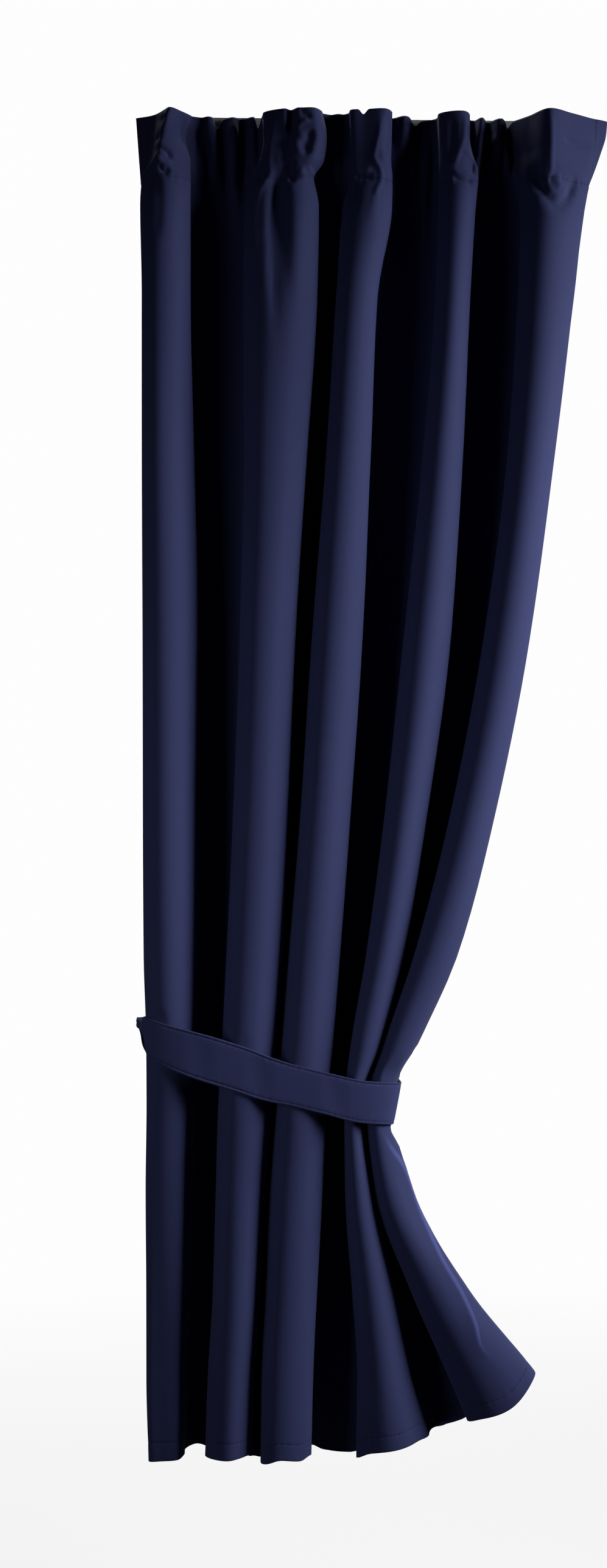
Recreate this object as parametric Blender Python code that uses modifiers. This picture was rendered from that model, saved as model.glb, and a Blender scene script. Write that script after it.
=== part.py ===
"""Velvet drape gathered on a short ceiling rail and held to one side by a tieback.

One panel of cloth hangs from the rail in five deep folds. The tieback is a flat band that
goes once round the folds, draws them to the left and meets itself again at the hook corner.
Frame: metres, +Z up, X along the rail, the room in front at -Y. The origin is the middle of
the rail's top face. Lengths named _CM and the tables below are in centimetres.
"""
import math
from collections import namedtuple

import bmesh
import bpy
import numpy as np

CM = 0.01
COLLECTION = "velvet_drape_with_tieback"

# Rail: a slim bar with a shadow groove along its front.
RAIL_LENGTH_CM = 80.0
RAIL_DEPTH_CM = 2.4
RAIL_HEIGHT_CM = 2.6
RAIL_GROOVE_TOP_CM = 1.25
RAIL_GROOVE_HEIGHT_CM = 0.3
RAIL_GROOVE_DEPTH_CM = 0.25

# Cloth
CLOTH_CM = 0.2          # thickness
DROP_CM = 239.0         # cut length of the panel, top edge to hem
TOP_EDGE_CM = 0.4       # the top edge hangs this far below the rail's top face
GAP_CM = 0.03           # between pieces that touch
EDGE_CLEAR_CM = 0.22    # between the cloth and the rail's lower front edge
HEADING_CM = 12.0       # depth of the gathered heading, down to its stitch line

# Tieback
TIE_CM = 0.24           # thickness of the doubled band
TIE_WIDTH_CM = 7.8
TIE_SPAN_CM = 10.0      # height of cloth the slanting band holds, measured straight down

# A fold at one height: where its two sides stand furthest out along the rail, and how far
# its crest stands in front of the rail's middle.
Fold = namedtuple("Fold", "drop left right front")
FOLDS = (
    (
        Fold(0, -38.3, -32.6, 9.2),
        Fold(5, -38.8, -33.9, 9.0),
        Fold(9, -39.6, -33.0, 9.6),
        Fold(12, -41.2, -32.9, 8.8),
        Fold(17, -41.6, -32.9, 9.8),
        Fold(33, -41.3, -32.9, 10.2),
        Fold(60, -41.3, -32.3, 10.4),
        Fold(95, -41.1, -31.4, 10.9),
        Fold(125, -41.0, -31.4, 11.7),
        Fold(150, -40.8, -31.5, 12.5),
        Fold(166, -40.3, -31.7, 12.6),
        Fold(176, -40.3, -32.1, 11.6),
        Fold(192, -40.5, -32.6, 10.6),
        Fold(210, -40.4, -32.9, 9.6),
        Fold(225, -40.4, -33.4, 9.0),
        Fold(240, -39.9, -34.0, 8.8),
    ),
    (
        Fold(0, -19.6, -9.6, 9.9),
        Fold(5, -19.6, -8.7, 10.0),
        Fold(9, -20.4, -9.2, 9.8),
        Fold(12, -21.9, -11.0, 8.8),
        Fold(17, -22.9, -10.1, 9.8),
        Fold(33, -23.4, -10.4, 10.4),
        Fold(60, -23.3, -12.2, 10.6),
        Fold(95, -24.1, -14.4, 11.1),
        Fold(125, -25.2, -15.6, 11.9),
        Fold(150, -26.4, -16.7, 12.7),
        Fold(166, -27.2, -17.8, 13.4),
        Fold(176, -27.8, -18.6, 13.4),
        Fold(192, -28.3, -19.6, 13.0),
        Fold(210, -28.8, -20.6, 12.9),
        Fold(225, -29.7, -21.5, 12.4),
        Fold(240, -30.2, -22.3, 12.2),
    ),
    (
        Fold(0, -4.3, 2.9, 9.9),
        Fold(5, -4.2, 2.8, 9.6),
        Fold(9, -4.2, 2.7, 9.4),
        Fold(12, -4.2, 3.0, 8.8),
        Fold(17, -5.6, 2.9, 9.8),
        Fold(33, -6.9, 0.3, 10.2),
        Fold(60, -8.6, -0.9, 10.4),
        Fold(95, -11.3, -2.5, 11.0),
        Fold(125, -13.3, -4.6, 11.8),
        Fold(150, -15.4, -6.5, 12.6),
        Fold(166, -16.7, -7.8, 13.3),
        Fold(176, -17.5, -8.8, 13.4),
        Fold(192, -18.7, -9.6, 12.9),
        Fold(210, -19.5, -10.6, 12.5),
        Fold(225, -20.2, -11.3, 12.3),
        Fold(240, -20.4, -11.6, 12.2),
    ),
    (
        Fold(0, 11.5, 16.9, 8.9),
        Fold(5, 11.6, 17.0, 8.8),
        Fold(9, 11.6, 17.8, 9.0),
        Fold(12, 11.6, 18.3, 8.6),
        Fold(17, 11.4, 17.9, 9.0),
        Fold(33, 10.9, 16.9, 9.4),
        Fold(60, 8.7, 15.6, 10.0),
        Fold(95, 5.0, 13.2, 10.8),
        Fold(125, 1.7, 9.1, 11.7),
        Fold(150, -1.7, 4.9, 12.5),
        Fold(166, -4.5, 1.0, 13.0),
        Fold(176, -5.6, -2.4, 12.8),
        Fold(192, -5.4, -0.2, 12.2),
        Fold(210, -4.1, 3.3, 11.6),
        Fold(225, -3.2, 6.2, 11.2),
        Fold(240, -3.4, 10.6, 11.0),
    ),
    (
        Fold(0, 24.4, 39.4, 11.2),
        Fold(5, 24.0, 39.4, 11.2),
        Fold(9, 24.4, 38.9, 10.8),
        Fold(12, 25.1, 38.4, 10.0),
        Fold(17, 26.1, 37.4, 10.2),
        Fold(33, 25.6, 35.4, 10.4),
        Fold(60, 23.8, 32.0, 10.6),
        Fold(95, 19.2, 27.2, 11.0),
        Fold(125, 13.4, 21.2, 11.7),
        Fold(150, 6.8, 14.5, 12.4),
        Fold(166, 1.3, 7.4, 12.6),
        Fold(176, -1.7, 3.0, 12.2),
        Fold(192, -0.1, 6.5, 11.8),
        Fold(210, 6.4, 16.6, 11.2),
        Fold(225, 13.0, 28.6, 10.8),
        Fold(240, 19.4, 39.0, 10.4),
    ),
)

# How far in front of the rail's middle the cloth lies at the bottom of each hollow.
Hollow = namedtuple("Hollow", "drop first second third fourth")
HOLLOWS = (
    Hollow(0, 1.2, 5.0, 1.2, 1.2),
    Hollow(3, 1.6, 4.6, 1.6, 1.6),
    Hollow(12, 1.2, 3.2, 1.2, 1.2),
    Hollow(30, 0.0, 1.2, 0.0, 0.0),
    Hollow(110, 0.0, 0.8, 0.0, 0.2),
    Hollow(150, 1.0, 1.4, 1.0, 1.4),
    Hollow(170, 2.2, 2.0, 2.0, 2.0),
    Hollow(195, 1.0, 1.4, 1.2, 1.6),
    Hollow(218, 0.8, 2.4, 1.4, 1.2),
    Hollow(240, 0.4, 5.0, 2.4, 1.2),
)

# Nearest that the cloth's middle comes to the rail's middle: resting on the rail's face at the
# top, clear of its lower edge, and free to swing back under it further down.
Seat = namedtuple("Seat", "drop front")
RAIL_FACE_CM = RAIL_DEPTH_CM / 2 + CLOTH_CM / 2
SEATS = (
    Seat(TOP_EDGE_CM, RAIL_FACE_CM + GAP_CM),
    Seat(RAIL_HEIGHT_CM, RAIL_FACE_CM + EDGE_CLEAR_CM),
    Seat(4.0, RAIL_FACE_CM + EDGE_CLEAR_CM),
    Seat(16.0, -0.8),
    Seat(240, -0.8),
)

# The panel's two side edges and the knee of cloth next to each, along the rail and out in
# front of it.
Side = namedtuple("Side", "drop edge edge_front knee knee_front")
LEFT_SIDE = (
    Side(0, -42.6, 1.5, -39.6, 3.4),
    Side(8, -42.0, 1.8, -40.2, 3.6),
    Side(13, -41.6, 2.0, -41.4, 4.0),
    Side(30, -40.8, 1.8, -41.2, 4.4),
    Side(95, -40.4, 1.7, -40.9, 4.5),
    Side(150, -40.0, 1.6, -40.6, 4.6),
    Side(176, -39.2, 2.4, -39.9, 4.8),
    Side(240, -39.1, 1.6, -39.9, 4.8),
)
RIGHT_SIDE = (
    Side(0, 42.2, 2.7, 40.6, 3.8),
    Side(3, 41.9, 2.7, 40.4, 3.9),
    Side(6, 41.0, 2.6, 39.8, 4.0),
    Side(10.7, 39.3, 2.4, 38.9, 4.2),
    Side(14.2, 37.8, 2.2, 38.0, 4.4),
    Side(30, 34.4, 1.8, 35.2, 4.6),
    Side(60, 31.2, 1.8, 31.8, 4.6),
    Side(95, 26.2, 1.8, 26.9, 4.8),
    Side(125, 20.0, 1.8, 20.8, 5.0),
    Side(150, 13.2, 2.0, 14.1, 5.2),
    Side(166, 6.4, 2.2, 7.1, 5.4),
    Side(176, 1.8, 2.2, 2.5, 5.4),
    Side(192, 5.3, 2.4, 6.0, 5.4),
    Side(210, 15.4, 3.0, 16.4, 5.4),
    Side(225, 27.6, 3.4, 28.5, 5.4),
    Side(240, 38.0, 3.6, 38.9, 5.4),
)

# Outline of each fold seen from above. crest is the place of its crest, from its left side
# (0) to its right side (1). The next four are how far out the cloth stands, from the hollow
# (0) to the crest (1): at the left side, halfway to the crest, halfway on, and at the right
# side. tuck is how far the right side turns in behind the fold (1) or runs on out (below 0).
Crown = namedtuple("Crown", "drop crest left left_half right_half right tuck")
CROWNS = (
    (
        Crown(0, 0.37, 0.47, 0.76, 0.66, 0.26, 0.0),
        Crown(5, 0.16, 0.70, 0.88, 0.86, 0.48, 0.0),
        Crown(9.5, 0.18, 0.66, 0.86, 0.90, 0.56, 0.5),
        Crown(12.5, 0.46, 0.58, 0.86, 0.90, 0.56, 1.0),
        Crown(17, 0.40, 0.60, 0.90, 0.92, 0.56, 1.0),
        Crown(33, 0.36, 0.64, 0.94, 0.92, 0.58, 1.0),
        Crown(60, 0.34, 0.66, 0.94, 0.88, 0.48, 0.2),
        Crown(150, 0.40, 0.76, 0.96, 0.88, 0.42, 0.0),
        Crown(200, 0.50, 0.86, 0.97, 0.92, 0.44, 0.0),
        Crown(240, 0.66, 0.92, 0.97, 0.96, 0.52, 0.0),
    ),
    (
        Crown(0, 0.72, 0.62, 0.90, 0.97, 0.44, 0.0),
        Crown(9, 0.68, 0.62, 0.88, 0.96, 0.52, 0.4),
        Crown(14, 0.62, 0.62, 0.90, 0.96, 0.64, 1.0),
        Crown(33, 0.52, 0.64, 0.94, 0.95, 0.72, 1.0),
        Crown(60, 0.42, 0.66, 0.955, 0.945, 0.74, 1.0),
        Crown(150, 0.40, 0.66, 0.955, 0.94, 0.70, 1.0),
        Crown(200, 0.44, 0.66, 0.95, 0.92, 0.60, 0.6),
        Crown(240, 0.52, 0.66, 0.94, 0.88, 0.46, 0.2),
    ),
    (
        Crown(0, 0.68, 0.78, 0.88, 0.98, 0.72, 0.0),
        Crown(9, 0.60, 0.76, 0.92, 0.97, 0.72, 0.4),
        Crown(17, 0.48, 0.66, 0.92, 0.95, 0.68, 1.0),
        Crown(33, 0.44, 0.66, 0.95, 0.945, 0.72, 1.0),
        Crown(60, 0.41, 0.66, 0.955, 0.945, 0.74, 1.0),
        Crown(150, 0.38, 0.66, 0.955, 0.94, 0.72, 1.0),
        Crown(240, 0.38, 0.64, 0.955, 0.94, 0.72, 1.0),
    ),
    (
        Crown(0, 0.72, 0.74, 0.96, 0.92, 0.62, 0.2),
        Crown(5, 0.70, 0.72, 0.95, 0.94, 0.60, 0.2),
        Crown(10.5, 0.40, 0.70, 0.94, 0.94, 0.62, 0.6),
        Crown(13, 0.50, 0.66, 0.92, 0.94, 0.66, 1.0),
        Crown(33, 0.46, 0.66, 0.94, 0.94, 0.72, 1.0),
        Crown(60, 0.44, 0.66, 0.95, 0.94, 0.72, 1.0),
        Crown(135, 0.40, 0.68, 0.95, 0.93, 0.68, 1.0),
        Crown(165, 0.36, 0.80, 0.97, 0.93, 0.66, 1.0),
        Crown(182, 0.36, 0.80, 0.97, 0.92, 0.60, 0.8),
        Crown(205, 0.42, 0.66, 0.94, 0.92, 0.60, 0.7),
        Crown(240, 0.46, 0.62, 0.92, 0.86, 0.44, -0.8),
    ),
    (
        Crown(0, 0.415, 0.03, 0.42, 0.64, 0.20, 0.0),
        Crown(7, 0.42, 0.10, 0.46, 0.70, 0.28, 0.0),
        Crown(12, 0.38, 0.34, 0.76, 0.84, 0.42, 0.0),
        Crown(18, 0.38, 0.54, 0.90, 0.90, 0.54, 0.0),
        Crown(60, 0.42, 0.64, 0.94, 0.94, 0.66, 0.0),
        Crown(130, 0.42, 0.68, 0.95, 0.94, 0.64, 0.0),
        Crown(160, 0.38, 0.86, 0.98, 0.92, 0.60, 0.0),
        Crown(184, 0.36, 0.86, 0.98, 0.90, 0.56, 0.0),
        Crown(206, 0.42, 0.70, 0.95, 0.92, 0.58, 0.0),
        Crown(240, 0.44, 0.64, 0.94, 0.90, 0.54, 0.0),
    ),
)
LEFT_NECK = (0.17, 0.26)        # across and out, next to the hollow on the fold's left
RIGHT_NECK = (0.90, 0.26)
# The folds' left sides stand straight out in the heading and close to a neck below it.
Neck = namedtuple("Neck", "drop tightness")
NECKS = (Neck(0, -0.4), Neck(12, 0.1), Neck(30, 1.0), Neck(240, 1.0))

# Small gathers and dents that the heading tape draws into the cloth: where along the rail,
# how far they lean over that way in each 10 cm of drop, half their width, how far they stand
# out (or in), and where down the cloth they begin, are fullest and have faded.
Gather = namedtuple("Gather", "along lean half_width out begin full end")
GATHERS = (
    Gather(-29.6, 1.6, 1.5, 1.6, -9, 4, 20),
    Gather(-25.4, 0.4, 1.9, 2.0, -9, 5, 26),
    Gather(-21.9, 0.4, 1.2, 1.0, -9, 5, 14),
    Gather(-6.6, 0.0, 1.3, 1.0, -9, 4, 16),
    Gather(5.6, -0.4, 2.8, 3.4, -9, 1, 10),
    Gather(9.2, 0.0, 1.4, 1.2, -4, 10, 34),
    Gather(19.4, -1.0, 1.3, 3.4, -9, 3, 16),
    Gather(22.2, 0.0, 1.3, 1.6, -9, 8, 20),
    Gather(-17.6, 0.3, 2.6, -1.5, 9, 17, 38),
    Gather(-15.0, 0.0, 1.3, -1.6, -12, 2, 10),
    Gather(-37.2, 0.0, 2.2, -1.0, 3, 9, 12),
    Gather(0.0, 0.6, 1.6, -0.9, 6, 11, 15),
    Gather(33.4, 1.0, 3.2, -1.2, 8, 13, 16),
)

# Where the top edge sags between two gathers: how far along, half its width, how deep.
Sag = namedtuple("Sag", "along half_width depth")
SAGS = (
    Sag(-27.9, 1.1, 2.1),
    Sag(-20.7, 0.8, 2.1),
    Sag(-2.2, 1.0, 0.9),
    Sag(7.4, 1.4, 0.9),
    Sag(24.2, 1.2, 1.2),
)

# How much longer (or shorter) the cloth hangs at its hem, by where the hem lies.
Hem = namedtuple("Hem", "along extra")
HEMS = (
    Hem(-40.0, 0.9), Hem(-36.0, 0.5), Hem(-33.5, 0.2), Hem(-31.5, -0.2), Hem(-29.0, 0.0),
    Hem(-25.0, 0.1), Hem(-20.5, 1.4), Hem(-17.0, 0.2), Hem(-13.5, 0.4), Hem(-11.8, -0.3),
    Hem(-9.0, 1.2), Hem(-4.0, 1.4), Hem(-1.0, 0.3), Hem(4.0, 0.1), Hem(9.0, 0.6),
    Hem(12.0, 1.5), Hem(15.0, 1.5), Hem(18.0, 0.9), Hem(22.0, 0.4), Hem(27.0, -0.9),
    Hem(30.0, -2.0), Hem(33.0, -3.2),
)
HEM_EASE_CM = 50.0      # height over which the difference comes in

# Columns of cloth in each fold, and the cloth lengths from the top edge where the rows lie.
FOLD_COLUMNS = (18, 19, 16, 16, 18)
ROWS_CM = (
    0, 2, 4, 6, 8, 10, 12, 14.5, 18, 23, 30, 40, 54, 70, 87, 104, 121, 137, 150, 159,
    165, 167.5, 170, 172.5, 175, 181, 190, 202, 214, 227, DROP_CM,
)
# Near the band the rows run along it: how much of its slope a row takes up.
Pull = namedtuple("Pull", "length share")
PULLS = (Pull(0, 0), Pull(50, 0), Pull(158, 1), Pull(182, 1), Pull(DROP_CM, 0))
TIE_ROW_CM = 170.0      # the row that lies under the band's centre line
LOWEST_CM = 245.0       # a little below the lowest hem point
HEIGHTS = 241           # plans worked out between the rail and there
SPLINE_STEPS = 10       # points on the outline between two of its control points

# Where the tieback's band runs round the folds, seen from above: an oval with flat sides.
TIE_MIDDLE_CM = -18.45
TIE_MIDDLE_FRONT_CM = 7.6
TIE_HALF_LENGTH_CM = 22.9
TIE_HALF_DEPTH_CM = 6.0
TIE_SQUARENESS = 4.0
TIE_SLOPE_MOST = 0.3    # the band's cross lines lean no further than this
TIE_LEAN_CM = 1.5       # its lower edge is drawn in this much further at the right end
TIE_LEAN_MOST = 1.15    # and the cloth just below it by this share of that
TIE_EASE = 0.32         # how fast the folds swell again away from the band's edges
# The band's centre line and width across the front, and back behind the folds.
Line = namedtuple("Line", "along drop width")
TIE_FRONT_LINE = (
    Line(-41.4, 162.2, 2.4), Line(-41.2, 162.4, 2.8), Line(-40.9, 162.9, 3.9),
    Line(-40.4, 164.2, 6.3), Line(-39.6, 164.6, 6.7), Line(-37.0, 165.6, 7.1),
    Line(-33.9, 166.6, 7.6), Line(-29.4, 168.0, 8.0), Line(-24.6, 169.5, 7.9),
    Line(-18.0, 171.8, 7.5), Line(-15.0, 172.5, 7.2), Line(-8.6, 174.1, 7.2),
    Line(-2.2, 175.6, 7.4), Line(4.5, 176.2, 7.4),
)
TIE_BACK_LINE = (Line(-41.4, 163.4, 7.4), Line(4.5, 176.2, 7.4))
# Both ends narrow to a neck and meet at the hook corner, behind the first fold's side.
End = namedtuple("End", "along front drop width")
TIE_FRONT_END = (
    End(-42.4, 4.5, 162.3, 1.5),
    End(-42.2, 5.6, 162.2, 1.5),
    End(-41.8, 6.9, 162.2, 1.7),
    End(-41.5, 8.1, 162.2, 2.1),
    End(-41.4, 9.0, 162.2, 2.4),
)
TIE_BACK_END = (
    End(-34.6, 1.9, 165.2, 7.4),
    End(-38.0, 1.6, 164.8, 7.4),
    End(-40.4, 1.7, 164.8, 7.0),
    End(-41.3, 2.2, 164.2, 5.4),
    End(-41.7, 2.7, 163.2, 3.4),
    End(-42.1, 3.0, 162.5, 2.0),
    End(-42.4, 3.2, 162.2, 1.5),
)
TIE_OVAL_STEPS = 60
TIE_WIDTH_STEPS = 4


def between(rows, column, place):
    """A table's column at any place: a smooth curve through the rows that never overshoots."""
    x = np.array([row[0] for row in rows], float)
    y = np.array([getattr(row, column) for row in rows], float)
    step = np.diff(x)
    slope = np.diff(y) / step
    tangent = np.zeros_like(y)
    for k in range(1, len(x) - 1):
        if slope[k - 1] * slope[k] > 0:
            before = 2 * step[k] + step[k - 1]
            after = step[k] + 2 * step[k - 1]
            tangent[k] = (before + after) / (before / slope[k - 1] + after / slope[k])
    tangent[0], tangent[-1] = slope[0], slope[-1]
    at = min(max(place, x[0]), x[-1])
    k = int(min(np.searchsorted(x, at, side="right") - 1, len(x) - 2))
    t = (at - x[k]) / step[k]
    return float(
        y[k] * (1 + 2 * t) * (1 - t) ** 2
        + y[k + 1] * t * t * (3 - 2 * t)
        + step[k] * (tangent[k] * t * (1 - t) ** 2 - tangent[k + 1] * t * t * (1 - t))
    )


def spline(points):
    """Points along a curve that passes through the control points without loops."""
    ends = np.array([2 * points[0] - points[1], 2 * points[-1] - points[-2]])
    p = np.vstack([ends[:1], points, ends[1:]])
    knots = np.concatenate([[0], np.cumsum(np.linalg.norm(np.diff(p, axis=0), axis=1) ** 0.5)])
    curve = []
    for k in range(1, len(p) - 2):
        t0, t1, t2, t3 = knots[k - 1 : k + 3]
        for t in np.linspace(t1, t2, SPLINE_STEPS, endpoint=False):
            a = ((t1 - t) * p[k - 1] + (t - t0) * p[k]) / (t1 - t0)
            b = ((t2 - t) * p[k] + (t - t1) * p[k + 1]) / (t2 - t1)
            c = ((t3 - t) * p[k + 1] + (t - t2) * p[k + 2]) / (t3 - t2)
            d = ((t2 - t) * a + (t - t0) * b) / (t2 - t0)
            e = ((t3 - t) * b + (t - t1) * c) / (t3 - t1)
            curve.append(((t2 - t) * d + (t - t1) * e) / (t2 - t1))
    curve.append(points[-1])
    return np.array(curve)


def plan(drop):
    """The cloth seen from above at one height: (along, front) of every column."""
    hollows = [between(HOLLOWS, name, drop) for name in Hollow._fields[1:]]
    tightness = between(NECKS, "tightness", drop)
    points = []
    starts = []

    def add(along, front):
        points.append((along, front))

    for i, rows in enumerate(FOLDS):
        left, right, front = (between(rows, name, drop) for name in Fold._fields[1:])
        crown = Crown(drop, *(between(CROWNS[i], name, drop) for name in Crown._fields[1:]))
        before = hollows[i - 1] if i else between(LEFT_SIDE, "edge_front", drop)
        after = hollows[i] if i < len(hollows) else between(RIGHT_SIDE, "edge_front", drop)
        starts.append(len(points))
        if i == 0:
            add(between(LEFT_SIDE, "edge", drop), before)
            add(between(LEFT_SIDE, "knee", drop), between(LEFT_SIDE, "knee_front", drop))
        else:
            previous = between(FOLDS[i - 1], "right", drop)
            add((previous + left) / 2, before)
            neck = left + tightness * LEFT_NECK[0] * (right - left)
            add(neck, before + LEFT_NECK[1] * (front - before))
        outline = (
            (0, crown.left), (crown.crest / 2, crown.left_half), (crown.crest, 1),
            ((1 + crown.crest) / 2, crown.right_half), (1, crown.right),
        )
        for across, out in outline:
            floor = before + (after - before) * across
            add(left + across * (right - left), floor + out * (front - floor))
        if i < len(hollows):
            neck = right - crown.tuck * (1 - RIGHT_NECK[0]) * (right - left)
            add(neck, after + RIGHT_NECK[1] * (front - after))
    add(between(RIGHT_SIDE, "knee", drop), between(RIGHT_SIDE, "knee_front", drop))
    add(between(RIGHT_SIDE, "edge", drop), between(RIGHT_SIDE, "edge_front", drop))
    starts.append(len(points) - 1)

    curve = spline(np.array(points))
    columns = []
    for i, count in enumerate(FOLD_COLUMNS):
        stretch = curve[starts[i] * SPLINE_STEPS : starts[i + 1] * SPLINE_STEPS + 1]
        lengths = np.linalg.norm(np.diff(stretch, axis=0), axis=1)
        run = np.concatenate([[0], np.cumsum(lengths)])
        last = i == len(FOLD_COLUMNS) - 1
        wanted = np.linspace(0, run[-1], count + 1)[: count + last]
        along = np.interp(wanted, run, stretch[:, 0])
        columns += list(zip(along, np.interp(wanted, run, stretch[:, 1])))
    return np.array(columns)


def bump(x):
    """A soft hump: 1 in the middle, 0 from 1 outwards."""
    return 0.5 + 0.5 * math.cos(math.pi * min(abs(x), 1.0))


def gathered(along, drop):
    """How far the small gathers and dents push the cloth out at one place."""
    out = 0.0
    for g in GATHERS:
        reach = g.full - g.begin if drop < g.full else g.end - g.full
        middle = g.along + g.lean * drop / 10
        out += g.out * bump((drop - g.full) / reach) * bump((along - middle) / g.half_width)
    return out


def sag(along):
    """How far the top edge hangs down at one place along the rail."""
    return sum(s.depth * bump((along - s.along) / s.half_width) for s in SAGS)


def tie_line(column, along, front):
    """The band's centre line or width where it goes round the folds."""
    share = (front - TIE_MIDDLE_FRONT_CM + TIE_HALF_DEPTH_CM) / (2 * TIE_HALF_DEPTH_CM)
    share = min(max(share, 0.0), 1.0)
    before = between(TIE_FRONT_LINE, column, along)
    return share * before + (1 - share) * between(TIE_BACK_LINE, column, along)


def tie_drop(along, front):
    """Drop of the band's centre line where it goes round the folds."""
    return tie_line("drop", along, front)


def lean(below):
    """How far in the band's right end is drawn, below its centre line by so much."""
    return TIE_LEAN_CM * min(max(below / TIE_WIDTH_CM + 0.5, 0.0), TIE_LEAN_MOST)


def held(along, front, drop):
    """Draws a point of the cloth inside the band where the band crosses it."""
    inner = 3 * GAP_CM + (TIE_CM + CLOTH_CM) / 2
    across, out = along - TIE_MIDDLE_CM, front - TIE_MIDDLE_FRONT_CM
    y = abs(out / (TIE_HALF_DEPTH_CM - inner)) ** TIE_SQUARENESS
    half = TIE_HALF_LENGTH_CM - inner
    for _ in range(2):
        reach = max((abs(across / half) ** TIE_SQUARENESS + y) ** (1 / TIE_SQUARENESS), 1e-6)
        tight = min(1.0, 1 / reach)
        line = tie_drop(TIE_MIDDLE_CM + across * tight, TIE_MIDDLE_FRONT_CM + out * tight)
        half = TIE_HALF_LENGTH_CM - inner - (lean(drop - line) if across > 0 else 0)
    away = max(0.0, abs(drop - line) - TIE_SPAN_CM / 2)
    scale = min(1.0, (1 + TIE_EASE * (away / 10) ** 1.2) / reach)
    return TIE_MIDDLE_CM + across * scale, TIE_MIDDLE_FRONT_CM + out * scale


def cloth_points():
    """Rows of points of the hung panel, in metres, each row at one length of cloth."""
    drops = np.linspace(TOP_EDGE_CM, LOWEST_CM, HEIGHTS)
    columns = []
    for drop in drops:
        seat = between(SEATS, "front", drop)
        row = []
        for along, front in plan(drop):
            front = max(front + gathered(along, drop), seat)
            along, front = held(along, front, drop)
            row.append((along, -front, -drop))
        columns.append(row)
    columns = np.array(columns)
    lengths = np.linalg.norm(np.diff(columns, axis=0), axis=2)
    run = np.vstack([np.zeros(lengths.shape[1]), np.cumsum(lengths, axis=0)])
    sags = [sag(along) for along in columns[0, :, 0]]
    crossings = []
    extras = []
    for c in range(columns.shape[1]):
        above = [-z - tie_drop(x, -y) for x, y, z in columns[:, c]]
        crossings.append(np.interp(0.0, above, run[:, c]))
        hem = np.interp(DROP_CM, run[:, c], columns[:, c, 0])
        extras.append(between(HEMS, "extra", hem))
    rows = []
    for length in ROWS_CM:
        row = []
        pull = between(PULLS, "share", length)
        ease = max(0.0, 1 - (DROP_CM - length) / HEM_EASE_CM) ** 2
        for c, hang in enumerate(sags):
            place = length + hang * max(0.0, 1 - length / HEADING_CM)
            place += pull * (crossings[c] - TIE_ROW_CM) + ease * extras[c]
            row.append([np.interp(place, run[:, c], columns[:, c, axis]) * CM for axis in range(3)])
        rows.append(row)
    return rows


def oval(turn):
    """A point of the band's oval, seen from above."""
    across, out = (
        math.copysign(abs(part) ** (2 / TIE_SQUARENESS), part)
        for part in (math.cos(turn), math.sin(turn))
    )
    return TIE_MIDDLE_CM + TIE_HALF_LENGTH_CM * across, TIE_MIDDLE_FRONT_CM + TIE_HALF_DEPTH_CM * out


def tie_points():
    """Rows of points across the band, from its end in front of the hook to its end behind it."""
    ring = np.array([oval(turn) for turn in np.linspace(math.pi * 0.985, -math.pi * 0.78, 1200)])
    steps = np.diff(ring, axis=0)
    run = np.concatenate([[0], np.cumsum(np.linalg.norm(steps, axis=1))])
    bends = np.abs(np.diff(np.unwrap(np.arctan2(steps[:, 1], steps[:, 0]))))
    bend = np.concatenate([[0, 0], np.cumsum(bends)])
    closeness = run / run[-1] + bend / bend[-1]     # rows lie closer where the band bends
    drops = np.array([tie_drop(*place) for place in ring])
    widths = np.array([tie_line("width", *place) for place in ring])
    slope = np.gradient(drops, run)
    rows = [end_row(TIE_FRONT_END, k) for k in range(len(TIE_FRONT_END) - 1)]
    ends = [np.interp(end, run, closeness) for end in (0.4, run[-1] - TIE_WIDTH_CM / 3)]
    for place in np.interp(np.linspace(*ends, TIE_OVAL_STEPS), closeness, run):
        steep = min(np.interp(place, run, slope), TIE_SLOPE_MOST)
        tilt = math.atan(steep) * min(1.0, place / TIE_WIDTH_CM)
        drop = np.interp(place, run, drops)
        width = np.interp(place, run, widths)
        row = []
        for step in range(TIE_WIDTH_STEPS + 1):
            up = width * (step / TIE_WIDTH_STEPS - 0.5)
            at = place + up * math.sin(tilt)
            along = np.interp(at, run, ring[:, 0])
            share = max(0.0, (along - TIE_MIDDLE_CM) / TIE_HALF_LENGTH_CM) ** 4
            along -= share * lean(-up * math.cos(tilt))
            row.append((
                along * CM,
                -np.interp(at, run, ring[:, 1]) * CM,
                (up * math.cos(tilt) - drop) * CM,
            ))
        rows.append(row)
    return rows + [end_row(TIE_BACK_END, k) for k in range(1, len(TIE_BACK_END))]


def end_row(ends, k):
    """Points across one of the band's narrowing ends, straight up and down."""
    end = ends[k]
    drops = [end.drop - end.width * (step / TIE_WIDTH_STEPS - 0.5) for step in range(TIE_WIDTH_STEPS + 1)]
    return [(end.along * CM, -end.front * CM, -drop * CM) for drop in drops]


def material(name, colour, roughness, metallic=0.0):
    made = bpy.data.materials.new(name)
    made.use_nodes = True
    shader = made.node_tree.nodes["Principled BSDF"]
    shader.inputs["Base Color"].default_value = (*colour, 1)
    shader.inputs["Roughness"].default_value = roughness
    shader.inputs["Metallic"].default_value = metallic
    return made


def sheet(name, rows, thickness, closed=False):
    """An open surface through rows of points, thickened to both sides."""
    mesh = bpy.data.meshes.new(name)
    build = bmesh.new()
    grid = [[build.verts.new(point) for point in row] for row in rows]
    for upper, lower in zip(grid, grid[1:]):
        for k in range(len(upper) - 1):
            build.faces.new((upper[k], lower[k], lower[k + 1], upper[k + 1]))
    build.to_mesh(mesh)
    build.free()
    mesh.shade_smooth()
    piece = bpy.data.objects.new(name, mesh)
    solidify = piece.modifiers.new("thickness", "SOLIDIFY")
    solidify.thickness = thickness
    solidify.offset = 0
    return piece


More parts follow.
